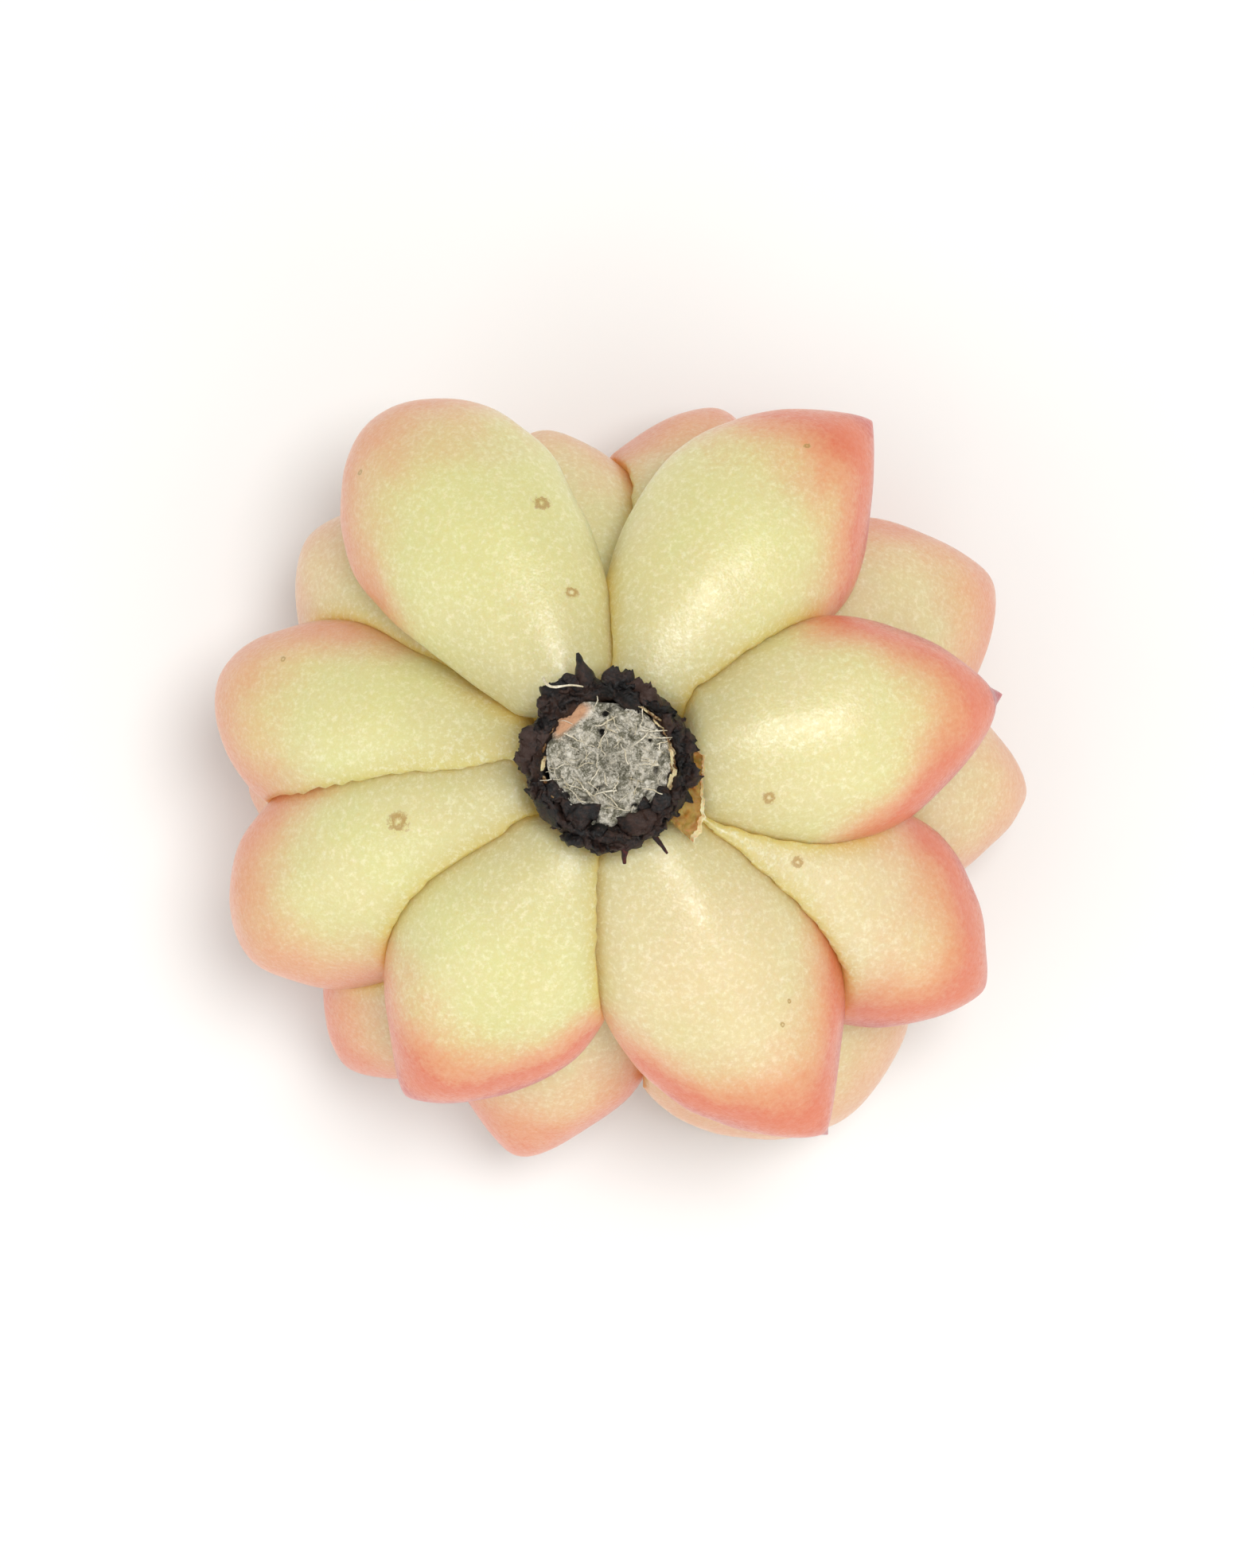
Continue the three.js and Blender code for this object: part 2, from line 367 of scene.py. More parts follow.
SECOND_LEAVES = (
    Leaf(28, 11, 18, 48, 32.6, 18, sweep=-7, blush=0.65, warmth=0.7),
    Leaf(143, 11, 20, 50, 28.6, 17, blush=0.3, warmth=0.5),
    Leaf(102, 11, 20, 50, 24.5, 15, blush=0.3, warmth=0.35),
    Leaf(-131, 11, 20, 48, 30.5, 16, blush=0.9, warmth=0.9),
    Leaf(-103, 11.5, 20, 48, 30.5, 16, blush=0.9, warmth=0.7),
    Leaf(72, 11.5, 20, 50, 27.8, 16, blush=0.75, warmth=0.55),
    Leaf(-56, 11.5, 20, 46, 32.5, 22.5, point=0.5, blush=0.35, warmth=0.6),
    Leaf(-4, 12, 18, 48, 32, 17, blush=0.45, warmth=0.75),
    Leaf(184, 12, 24, 52, 28, 16, blush=0.6, warmth=0.5),
)


@dataclass(frozen=True)
class Spiral:
    """The young leaves, which follow one spiral. Each pair runs from the outermost leaf to the heart."""

    count: int = 18
    first_az: float = 50
    standing: int = 9
    down: tuple[float, float] = (13.5, 24)
    pitch: tuple[float, float] = (36, 80)
    tip_pitch: tuple[float, float] = (66, 104)
    length: tuple[float, float] = (26.5, 8.5)
    width: tuple[float, float] = (16.5, 3.8)
    thick: tuple[float, float] = (7.2, 2.2)
    reach: tuple[float, float] = (4, 0.9)
    blush: tuple[float, float] = (0.75, 0.9)
    green: tuple[float, float] = (0.3, 0.9)

    def leaves(self) -> list[Leaf]:
        """The spiral's leaves, outermost first."""
        sizes = ("down", "pitch", "tip_pitch", "length", "width", "thick", "reach", "blush", "green")
        found = []
        for i in range(self.count):
            share = i / (self.count - 1)
            values = {name: float(np.interp(share, (0, 1), getattr(self, name))) for name in sizes}
            az = self.first_az + GOLDEN_ANGLE * i
            found.append(Leaf(az=az, mucro=0.5 * (1 - share), warmth=0.2, **values))
        return found


def leaf_tree() -> bpy.types.NodeTree:
    """Makes the tree that bends a sphere along a midrib into a plump leaf.

    Returns:
        The tree, whose inputs are a leaf's sizes in metres and radians.
    """
    numbers = [
        "Azimuth", "Sweep", "Pitch", "Tip Pitch", "Length", "Width", "Thickness", "Lean", "Point", "Belly",
        "Base", "Flare", "Cupping", "Mucro", "Inner Share", "Unevenness", "Blush", "Bias", "Warmth", "Green",
    ]
    inputs = {name: Kind.NUMBER for name in numbers}
    inputs |= {name: Kind.COUNT for name in ("Sides", "Rings")}
    inputs |= {name: Kind.VECTOR for name in ("Root", "Scar 1", "Scar 2", "Scar 3", "Seed")}
    inputs["Finish"] = Kind.FINISH
    tree, size = new_tree("plump leaf", inputs)

    def bearing(share: Any) -> tuple[dict[str, Any], Any]:
        """The leaf's heading and slope at a share of its length, and its direction there."""
        angles = work_out(tree, {**size, "share": share}, [
            ("turned", "MULTIPLY", "Sweep", "share"),
            ("heading", "ADD", "Azimuth", "turned"),
            ("bend", "SUBTRACT", "Tip Pitch", "Pitch"),
            ("bent", "MULTIPLY", "bend", "share"),
            ("slope", "ADD", "Pitch", "bent"),
            ("level", "COSINE", "slope"),
            ("dip", "SINE", "slope"),
            ("east", "COSINE", "heading"),
            ("north", "SINE", "heading"),
            ("x", "MULTIPLY", "level", "east"),
            ("y", "MULTIPLY", "level", "north"),
            ("z", "MULTIPLY", "dip", -1.0),
            ("west", "MULTIPLY", "north", -1.0),
        ])
        feeds = {0: angles["x"], 1: angles["y"], 2: angles["z"]}
        return angles, add_node(tree, "ShaderNodeCombineXYZ", feeds)

    # The midrib is the sum of short steps in the leaf's direction.
    line = add_node(tree, "GeometryNodeCurvePrimitiveLine")
    rib = add_node(tree, "GeometryNodeResampleCurve", {"Curve": line, "Count": MIDRIB_POINTS})
    index = add_node(tree, "GeometryNodeInputIndex")
    step = work_out(tree, {**size, "i": index.outputs[0]}, [
        ("middle", "ADD", "i", 0.5),
        ("share", "DIVIDE", "middle", MIDRIB_POINTS - 1.0),
        ("step", "DIVIDE", "Length", MIDRIB_POINTS - 1.0),
    ])
    _, heading = bearing(step["share"])
    feeds = {"Vector": heading, "Scale": step["step"]}
    stride = add_node(tree, "ShaderNodeVectorMath", feeds, operation="SCALE")
    summed = add_node(tree, "GeometryNodeAccumulateField", {"Value": stride}, data_type="FLOAT_VECTOR")
    before = live_socket(summed.outputs, "Trailing")
    rib_place = add_node(tree, "ShaderNodeVectorMath", {0: before, 1: size["Root"]}, operation="ADD")
    midrib = add_node(tree, "GeometryNodeSetPosition", {"Geometry": rib, "Position": rib_place})

    # The sphere's poles become the leaf's ends. Its parallels become the cross sections.
    feeds = {"Segments": size["Sides"], "Rings": size["Rings"], "Radius": 1.0}
    ball = add_node(tree, "GeometryNodeMeshUVSphere", feeds)
    spot = add_node(tree, "ShaderNodeSeparateXYZ", {0: add_node(tree, "GeometryNodeInputPosition")})
    form = work_out(tree, {**size, "x": spot.outputs[0], "y": spot.outputs[1], "z": spot.outputs[2]}, [
        ("raised", "ADD", "z", 1.0),
        ("along", "MULTIPLY", "raised", 0.5),
        ("xx", "MULTIPLY", "x", "x"),
        ("yy", "MULTIPLY", "y", "y"),
        ("rr", "ADD", "xx", "yy"),
        ("r", "SQRT", "rr"),
        ("across", "DIVIDE", "x", "r"),
        ("lift", "DIVIDE", "y", "r"),
        # Widening from the stem to the belly.
        ("to belly", "DIVIDE", "along", "Belly"),
        ("near", "MINIMUM", "to belly", 1.0),
        ("near turn", "MULTIPLY", "near", math.pi / 2),
        ("swell", "SINE", "near turn"),
        ("flared", "POWER", "swell", "Flare"),
        ("not base", "SUBTRACT", 1.0, "Base"),
        ("widening", "MULTIPLY_ADD", "flared", "not base", "Base"),
        ("deepening", "MULTIPLY_ADD", "swell", 0.34, 0.66),
        # Narrowing from the belly to the tip.
        ("past", "SUBTRACT", "along", "Belly"),
        ("rest", "SUBTRACT", 1.0, "Belly"),
        ("far raw", "DIVIDE", "past", "rest"),
        ("far low", "MAXIMUM", "far raw", 0.0),
        ("far", "MINIMUM", "far low", 1.0),
        ("far w", "POWER", "far", 1.9),
        ("left w", "SUBTRACT", 1.0, "far w"),
        ("narrowing", "POWER", "left w", "Point"),
        ("far d", "POWER", "far", 2.4),
        ("left d", "SUBTRACT", 1.0, "far d"),
        ("thinning", "POWER", "left d", 0.62),
        # Rounding of the end at the stem.
        ("end raw", "DIVIDE", "along", 0.07),
        ("end", "MINIMUM", "end raw", 1.0),
        ("end left", "SUBTRACT", 1.0, "end"),
        ("end sq", "MULTIPLY", "end left", "end left"),
        ("end cos", "SUBTRACT", 1.0, "end sq"),
        ("rounding", "SQRT", "end cos"),
        ("w1", "MULTIPLY", "widening", "narrowing"),
        ("wide", "MULTIPLY", "w1", "rounding"),
        ("d1", "MULTIPLY", "deepening", "thinning"),
        ("deep", "MULTIPLY", "d1", "rounding"),
        # Sideways place, with the leaf's lean.
        ("half", "MULTIPLY", "Width", 0.5),
        ("lean w", "MULTIPLY", "Lean", "wide"),
        ("leaning", "MULTIPLY_ADD", "lean w", "along", "across"),
        ("half wide", "MULTIPLY", "half", "wide"),
        ("sideways", "MULTIPLY", "half wide", "leaning"),
        # Place along the leaf's back, thicker outside the midrib plane than inside it.
        ("is back", "GREATER_THAN", "lift", 0.0),
        ("outer share", "SUBTRACT", 1.0, "Inner Share"),
        ("more", "SUBTRACT", "outer share", "Inner Share"),
        ("share", "MULTIPLY_ADD", "is back", "more", "Inner Share"),
        ("depth", "MULTIPLY", "Thickness", "share"),
        ("depth here", "MULTIPLY", "depth", "deep"),
        # Rounder than a lens and sharper at its edge than an ellipse.
        ("lift size", "ABSOLUTE", "lift"),
        ("lift sign", "SIGN", "lift"),
        ("lift pow", "POWER", "lift size", 1.3),
        ("lifted", "MULTIPLY", "lift pow", "lift sign"),
        ("bulge", "MULTIPLY", "depth here", "lifted"),
        ("across sq", "MULTIPLY", "across", "across"),
        ("cup w", "MULTIPLY", "Cupping", "wide"),
        ("cupped", "MULTIPLY", "cup w", "across sq"),
        ("outwards", "SUBTRACT", "bulge", "cupped"),
        # The hard point at the very tip.
        ("to tip", "SUBTRACT", "along", 0.965),
        ("tip low", "MAXIMUM", "to tip", 0.0),
        ("tip part", "DIVIDE", "tip low", 0.035),
        ("tip sq", "POWER", "tip part", 2.2),
        ("forward", "MULTIPLY", "Mucro", "tip sq"),
    ])
    feeds = {"Curves": midrib, "Factor": form["along"]}
    sample = add_node(tree, "GeometryNodeSampleCurve", feeds, mode="FACTOR")
    angles, ahead = bearing(form["along"])
    aside = add_node(tree, "ShaderNodeCombineXYZ", {0: angles["west"], 1: angles["east"]})
    back = add_node(tree, "ShaderNodeVectorMath", {0: ahead, 1: aside}, operation="CROSS_PRODUCT")
    place = live_socket(sample.outputs, "Position")
    for axis, distance in ((aside, "sideways"), (back, "outwards"), (ahead, "forward")):
        feeds = {"Vector": axis, "Scale": form[distance]}
        offset = add_node(tree, "ShaderNodeVectorMath", feeds, operation="SCALE")
        place = add_node(tree, "ShaderNodeVectorMath", {0: place, 1: offset}, operation="ADD").outputs[0]

    # Slow waves keep the plump surface from looking turned on a lathe.
    shifted = add_node(tree, "ShaderNodeVectorMath", {0: place, 1: size["Seed"]}, operation="ADD")
    uneven = wobble(tree, 7, size["Unevenness"], 1.0, shifted)

    # The attributes are stored while the mesh is still the sphere, which their fields read.
    in_mm = work_out(tree, {**size, **form}, [
        ("run", "MULTIPLY", "Length", "along"),
        ("along mm", "MULTIPLY", "run", 1 / MM),
        ("across mm", "MULTIPLY", "sideways", 1 / MM),
        ("spine", "MULTIPLY", "Mucro", 1 / MM),
    ])
    chart = add_node(tree, "ShaderNodeCombineXYZ", {0: in_mm["along mm"], 1: in_mm["across mm"]})
    stored = {
        "along": form["along"], "across": form["across"], "lift": form["lift"],
        "blush": size["Blush"], "bias": size["Bias"], "warmth": size["Warmth"], "green": size["Green"],
        "spine": in_mm["spine"],
    }
    shape = ball
    charts = {"chart": chart} | {f"scar_{i}": size[f"Scar {i}"] for i in (1, 2, 3)}
    for group, data_type in ((stored, "FLOAT"), (charts, "FLOAT_VECTOR")):
        for name, value in group.items():
            feeds = {"Geometry": shape, "Name": name, "Value": value}
            settings = {"data_type": data_type, "domain": "POINT"}
            shape = add_node(tree, "GeometryNodeStoreNamedAttribute", feeds, **settings)
    feeds = {"Geometry": shape, "Position": place, "Offset": uneven}
    end_tree(tree, add_node(tree, "GeometryNodeSetPosition", feeds), size["Finish"])
    return tree


@dataclass
class Placed:
    """A leaf that is in its place, for the later ones to be pressed against."""

    mesh: bpy.types.Mesh
    points: np.ndarray = field(init=False)
    whole: BVHTree = field(init=False)
    inner: BVHTree = field(init=False)
    low: np.ndarray = field(init=False)
    high: np.ndarray = field(init=False)

    def __post_init__(self) -> None:
        """Builds the search trees of the whole skin and of its inner side."""
        self.points = mesh_points(self.mesh)
        lift = read_numbers(self.mesh, "lift")
        faces = [tuple(p.vertices) for p in self.mesh.polygons]
        inner = [f for f in faces if max(lift[list(f)]) < 0.12]
        rows = [Vector(p) for p in self.points]
        self.whole = BVHTree.FromPolygons(rows, faces)
        self.inner = BVHTree.FromPolygons(rows, inner)
        self.low = self.points.min(0)
        self.high = self.points.max(0)

    def near(self, points: np.ndarray, reach: float) -> np.ndarray:
        """Which of the points lie in this leaf's box, widened by a reach."""
        return np.flatnonzero(((points > self.low - reach) & (points < self.high + reach)).all(1))


@dataclass
class Rosette:
    """All the leaves, made outermost first, each pressed against the ones that lie over it."""

    top: Vector
    table: float
    leaf_gap: float = -0.03  # mm
    crease_reach: float = 1.9  # mm
    inner_share: float = 0.38
    unevenness: float = 0.75  # mm
    spiral: Spiral = Spiral()
    placed: list[Placed] = field(default_factory=list)

    def blade(self, tree: bpy.types.NodeTree, leaf: Leaf, layer: Layer, number: int,
              finish: bpy.types.Material) -> bpy.types.Mesh:
        """Grows one leaf before it is pressed.

        Args:
            tree: The leaf tree.
            leaf: The leaf's form.
            layer: Its layer, which sets how fine its mesh is.
            number: Its number in the whole rosette, which sets its seed.
            finish: Its material.

        Returns:
            The leaf's mesh in the row frame.
        """
        az = math.radians(leaf.az)
        root = self.top + Vector((leaf.reach * math.cos(az), leaf.reach * math.sin(az), -leaf.down)) * MM
        scars = [*leaf.scars, *[Scar(0, 0, 0)] * 3][:3]
        values = {
            "Azimuth": az, "Sweep": math.radians(leaf.sweep), "Pitch": math.radians(leaf.pitch),
            "Tip Pitch": math.radians(leaf.tip_pitch), "Length": leaf.length * MM, "Width": leaf.width * MM,
            "Thickness": leaf.thick * MM, "Lean": leaf.lean, "Point": leaf.point,
            "Belly": leaf.belly, "Base": leaf.base, "Flare": leaf.flare, "Cupping": leaf.cupping * MM,
            "Mucro": leaf.mucro * MM, "Inner Share": self.inner_share,
            "Unevenness": self.unevenness * MM * leaf.thick / 7.5,
            "Blush": leaf.blush, "Bias": leaf.bias, "Warmth": leaf.warmth, "Green": leaf.green,
            "Sides": layer.value[1], "Rings": layer.value[2], "Root": root,
            "Seed": Vector((number * 0.137, number * 0.071, 0)), "Finish": finish,
        }
        values |= {f"Scar {i + 1}": Vector((s.along, s.across, s.size)) for i, s in enumerate(scars)}
        return grow(tree, values)

    def press(self, mesh: bpy.types.Mesh) -> None:
        """Moves a leaf's points out of every placed leaf, to that leaf's inner side, and smooths the print.

        Args:
            mesh: The leaf's mesh, which is changed.
        """
        points = mesh_points(mesh)
        edges = np.array([e.vertices[:] for e in mesh.edges])
        moved = np.zeros(len(points))
        for smoothing in (2, 1, 0):
            for other in self.placed:
                self.push_out(points, moved, other)
            for _ in range(smoothing):
                points = self.relax(points, edges, moved)
        move_points(mesh, points)

    def push_out(self, points: np.ndarray, moved: np.ndarray, other: Placed) -> None:
        """Moves the points that lie in one placed leaf to its inner side.

        Args:
            points: The points, which are changed.
            moved: Where a point was moved, this becomes 1.
            other: The placed leaf.
        """
        gap = self.leaf_gap * MM
        for i in other.near(points, gap):
            spot, normal, _, _ = other.whole.find_nearest(points[i])
            if (Vector(points[i]) - spot).dot(normal) > gap:
                continue
            under, out, _, _ = other.inner.find_nearest(points[i])
            points[i] = under + out * gap
            moved[i] = 1

    @staticmethod
    def relax(points: np.ndarray, edges: np.ndarray, moved: np.ndarray) -> np.ndarray:
        """Moves the pressed points halfway to the middle of their neighbours.

        Args:
            points: The points.
            edges: The mesh's edges as pairs of point numbers.
            moved: 1 for each pressed point.

        Returns:
            The new points.
        """
        total = np.zeros_like(points)
        count = np.zeros(len(points))
        ring = moved.copy()
        for a, b in (edges.T, edges.T[::-1]):
            np.add.at(total, a, points[b])
            np.add.at(count, a, 1)
            np.maximum.at(ring, a, moved[b] * 0.6)
        share = 0.5 * ring[:, None]
        return points * (1 - share) + total / count[:, None] * share

    def find_creases(self) -> None:
        """Stores on each leaf how close each point is to another leaf, for the painted shade and the painted
        glow of the creases.
        """
        reach = self.crease_reach * MM
        for number, own in enumerate(self.placed):
            crease_shade = np.zeros(len(own.points))
            for place, other in enumerate(self.placed):
                if other is own:
                    continue
                strength = 1 if place < number else 0.4
                for i in other.near(own.points, reach):
                    _, _, _, distance = other.whole.find_nearest(own.points[i], reach)
                    if distance is not None:
                        crease_shade[i] = max(crease_shade[i], strength * (1 - distance / reach))
            write_numbers(own.mesh, "crease_shade", crease_shade)

    def build(self, skins: dict[Layer, bpy.types.Material]) -> None:
        """Makes every leaf and puts it into the scene.

        Args:
            skins: The material of each layer's leaves.
        """
        tree = leaf_tree()
        young = self.spiral.leaves()
        layers = ((Layer.OUTER, OUTER_LEAVES), (Layer.SECOND, SECOND_LEAVES), (Layer.YOUNG, young))
        made = []
        for layer, leaves in layers:
            for i, leaf in enumerate(leaves):
                mesh = self.blade(tree, leaf, layer, len(self.placed), skins[layer])
                if layer is Layer.YOUNG and i < self.spiral.standing:
                    points = mesh_points(mesh)
                    points[:, 2] += self.table - points[:, 2].min()
                    move_points(mesh, points)
                # The heart leaf is smaller than the print of its neighbours, which would turn it inside out.
                if not (layer is Layer.YOUNG and i == len(leaves) - 1):
                    self.press(mesh)
                self.placed.append(Placed(mesh))
                made.append((f"{layer.value[0]}_{i + 1}", mesh, layer))
        self.find_creases()
        for node, mesh, layer in made:
            slot = "young_leaf_skin" if layer is Layer.YOUNG else "leaf_skin"
            add_piece(f"{node}_blade", mesh, slot, node)


@dataclass(frozen=True)
class LeafSkin:
    """Waxy leaf skin: a thin matte wax over clear, watery flesh, so light sinks in and comes out warm.

    The wax scatters a soft broad highlight, and the swollen cells under it glitter like fine frost, helped by
    painted near-white sparkle specks. Painted shade tints each leaf's foot and the creases between leaves,
    and a painted glow lights the creases.
    """

    name: str
    centre: str = "#dcd899"
    cream: str = "#e3cfa4"
    leafy: str = "#c9d78e"
    peach: str = "#e2aa7d"
    blush: str = "#dc7a55"
    rim: str = "#c4452c"
    tip: str = "#9c1226"
    # Painted shade: the tan of each leaf's foot, deep in the rosette by the stem.
    foot_shade: str = "#d2c793"
    # Painted shade of the creases between leaves; also the colour of their painted glow and of the darker
    # grains.
    crease_shade: str = "#d3b24e"
    # Painted sparkle: near-white specks that stand in for glints of the wax cells.
    painted_sparkle: str = "#fdf8df"
    scab: str = "#b08a3c"
    cell: float = 0.2  # mm

    def build(self) -> bpy.types.Material:
        """Makes the material."""
        material, tree = start_material(self.name)
        names = ("along", "across", "blush", "bias", "warmth", "green", "spine", "crease_shade", "chart")
        read = {n: add_node(tree, "ShaderNodeAttribute", attribute_name=n) for n in names}
        known = {n: live_socket(node.outputs, "Fac") for n, node in read.items()}
        chart = live_socket(read["chart"].outputs, "Vector")
        place = live_socket(add_node(tree, "ShaderNodeTexCoord").outputs, "Object")

        feeds = {"Vector": place, "Scale": 1 / (5 * MM), "Detail": 3.0}
        patches = add_node(tree, "ShaderNodeTexNoise", feeds)
        stretch = add_node(tree, "ShaderNodeMapping", {"Vector": chart, "Scale": (0.35, 2.2, 1.0)})
        streaks = add_node(tree, "ShaderNodeTexNoise", {"Vector": stretch, "Scale": 1.4, "Detail": 4.0})
        cells = add_node(tree, "ShaderNodeTexVoronoi", {"Vector": place, "Scale": 1 / (self.cell * MM)})
        frost = add_node(tree, "ShaderNodeTexNoise",
                         {"Vector": place, "Scale": 1 / (0.4 * MM), "Detail": 5.0, "Roughness": 0.75})
        known |= {
            "patch": live_socket(patches.outputs, "Fac"), "streak": live_socket(streaks.outputs, "Fac"),
            "cell": live_socket(cells.outputs, "Distance"), "frost": live_socket(frost.outputs, "Fac"),
        }
        # "tint" runs from 0 in the leaf's middle to 1 at its edge and its tip.
        mask = work_out(tree, known, [
            ("side", "ABSOLUTE", "across"),
            ("one side", "MULTIPLY_ADD", "bias", "across", 1.0),
            ("bias size", "ABSOLUTE", "bias"),
            ("both sides", "ADD", "bias size", 1.0),
            ("weighed", "DIVIDE", "one side", "both sides"),
            ("weighed side", "MULTIPLY", "side", "weighed"),
            ("side sq", "POWER", "weighed side", 2.5),
            ("ahead", "SUBTRACT", "along", 0.22),
            ("ahead up", "MULTIPLY", "ahead", 1.9),
            ("ahead low", "MAXIMUM", "ahead up", 0.0),
            ("ahead share", "MINIMUM", "ahead low", 1.0),
            ("margin", "MULTIPLY", "side sq", "ahead share"),
            ("off margin", "SUBTRACT", 1.0, "margin"),
            ("end", "SUBTRACT", "along", 0.36),
            ("end up", "DIVIDE", "end", 0.64),
            ("end low", "MAXIMUM", "end up", 0.0),
            ("end sq", "POWER", "end low", 1.7),
            ("off end", "SUBTRACT", 1.0, "end sq"),
            ("off both", "MULTIPLY", "off margin", "off end"),
            ("tint even", "SUBTRACT", 1.0, "off both"),
            ("reach", "MULTIPLY_ADD", "blush", 0.42, 0.72),
            ("tint wide", "MULTIPLY", "tint even", "reach"),
            ("patchy", "SUBTRACT", "patch", 0.5),
            ("tint patchy", "MULTIPLY_ADD", "patchy", 0.32, "tint wide"),
            ("streaky", "SUBTRACT", "streak", 0.5),
            ("tint streaky", "MULTIPLY_ADD", "streaky", 0.09, "tint patchy"),
            ("grainy", "SUBTRACT", "frost", 0.5),
            ("tint", "MULTIPLY_ADD", "grainy", -0.22, "tint streaky"),
            ("blush half", "MULTIPLY_ADD", "blush", 0.5, 0.5),
            ("point start", "MULTIPLY_ADD", "spine", 0.055, -1.0),
            ("point", "ADD", "along", "point start"),
            ("pointed", "MULTIPLY", "point", 50.0),
            ("pointed low", "MAXIMUM", "pointed", 0.0),
            ("reddened", "MINIMUM", "pointed low", 0.95),
            ("warmed", "MULTIPLY_ADD", "patchy", 0.9, "warmth"),
            # Painted shade towards the leaf's foot, where it lies deep in the rosette.
            ("foot raw", "MULTIPLY_ADD", "along", -2.7, 1.05),
            ("foot shaded", "MULTIPLY", "foot raw", 0.95),
            # Painted shade near other leaves, strongest on the leaf that lies behind.
            ("crease sq", "POWER", "crease_shade", 1.4),
            ("crease shaded", "MULTIPLY", "crease sq", 0.75),
            # A painted glow: emission in the deepest creases stands in for the light that the watery flesh
            # carries there, which keeps them yellow, not black.
            ("crease deep", "POWER", "crease_shade", 3.0),
            ("painted crease glow", "MULTIPLY", "crease deep", 0.22),
            # Painted sparkle: near-white specks where the fine noise is high, darker grains where it is low.
            ("clear", "SUBTRACT", "frost", 0.5),
            ("painted sparkle share", "MULTIPLY", "clear", 2.4),
            ("cloudy", "SUBTRACT", 0.45, "frost"),
            ("shaded", "MULTIPLY", "cloudy", 0.7),
        ])
        bands = {}
        ranges = (
            ("peach", 0.14, 0.6, "blush half"),
            ("blush", 0.4, 0.82, "blush"),
            ("rim", 0.8, 1.25, "blush"),
        )
        for name, low, high, strength in ranges:
            feeds = {"Value": mask["tint"], "From Min": low, "From Max": high}
            band = add_node(tree, "ShaderNodeMapRange", feeds, interpolation_type="SMOOTHSTEP")
            bands[name] = add_node(tree, "ShaderNodeMath", {0: band, 1: mask[strength]}, operation="MULTIPLY")
        colour = paint(
            tree,
            linear(self.centre),
            (mask["warmed"], self.cream),
            (mask["green"], self.leafy),
            # Painted shade at the foot and in the creases, and painted sparkle, over the leaf's own colours.
            (mask["foot shaded"], self.foot_shade),
            (mask["crease shaded"], self.crease_shade),
            (mask["painted sparkle share"], self.painted_sparkle),
            (mask["shaded"], self.crease_shade),
            (bands["peach"], self.peach),
            (bands["blush"], self.blush),
            (bands["rim"], self.rim),
            (mask["reddened"], self.tip),
        )
        for number in (1, 2, 3):
            colour = self.scarred(tree, colour, chart, known["frost"], number)

        glints = work_out(tree, known, [
            ("cell out", "SUBTRACT", 0.55, "cell"),
            ("cell up", "MULTIPLY", "cell out", 0.9),
            ("relief", "ADD", "cell up", "frost"),
            ("dull", "MULTIPLY_ADD", "frost", 0.4, 0.26),
            ("wax", "MULTIPLY_ADD", "frost", 3.4, -0.7),
        ])
        relief = glints["relief"]
        bump = add_node(tree, "ShaderNodeBump", {"Strength": 0.5, "Distance": 0.05 * MM, "Height": relief})
        gloss = add_node(tree, "ShaderNodeBump", {"Strength": 0.3, "Distance": 0.04 * MM, "Height": relief})
        feeds = {
            "Base Color": colour, "Roughness": glints["dull"], "Normal": bump,
            "Subsurface Weight": 0.8, "Subsurface Radius": (1.0, 0.7, 0.38), "Subsurface Scale": 4.5 * MM,
            "IOR": 1.42, "Coat Weight": glints["wax"], "Coat Roughness": 0.36, "Coat Normal": gloss,
            # The painted glow of the creases.
            "Emission Color": linear(self.crease_shade), "Emission Strength": mask["painted crease glow"],
        }
        shader = add_node(tree, "ShaderNodeBsdfPrincipled", feeds)
        add_node(tree, "ShaderNodeOutputMaterial", {"Surface": shader})
        return material

    def scarred(self, tree: bpy.types.NodeTree, colour: Any, chart: Any, frost: Any, number: int) -> Any:
        """Paints one brown healed scar, a ring with a frayed edge.

        Args:
            tree: The material's tree.
            colour: The colour's socket so far.
            chart: The socket with the place on the leaf, in millimetres.
            frost: The socket with fine noise, which frays the ring.
            number: The scar's number.

        Returns:
            The new colour's socket.
        """
        scar = add_node(tree, "ShaderNodeAttribute", attribute_name=f"scar_{number}")
        parts = add_node(tree, "ShaderNodeSeparateXYZ", {0: live_socket(scar.outputs, "Vector")})
        feeds = {0: live_socket(scar.outputs, "Vector"), 1: (1.0, 1.0, 0.0)}
        flat = add_node(tree, "ShaderNodeVectorMath", feeds, operation="MULTIPLY")
        apart = add_node(tree, "ShaderNodeVectorMath", {0: chart, 1: flat}, operation="DISTANCE")
        known = {"distance": apart.outputs["Value"], "size": parts.outputs[2], "frost": frost}
        ring = work_out(tree, known, [
            ("size up", "MAXIMUM", "size", 0.001),
            ("radius", "MULTIPLY", "size up", 0.5),
            ("frayed", "SUBTRACT", "frost", 0.5),
            ("wander", "MULTIPLY_ADD", "frayed", 3.4, 1.0),
            ("reach", "MULTIPLY", "radius", "wander"),
            ("share", "DIVIDE", "distance", "reach"),
            ("off ring", "SUBTRACT", "share", 0.65),
            ("off ring size", "ABSOLUTE", "off ring"),
            ("inside", "SUBTRACT", 0.55, "off ring size"),
            ("soft", "MULTIPLY", "inside", 1.9),
            ("soft low", "MAXIMUM", "soft", 0.0),
            ("full", "MINIMUM", "soft low", 0.8),
            ("there", "GREATER_THAN", "size", 0.01),
            ("mask", "MULTIPLY", "full", "there"),
        ])
        return paint(tree, colour, (ring["mask"], self.scab))


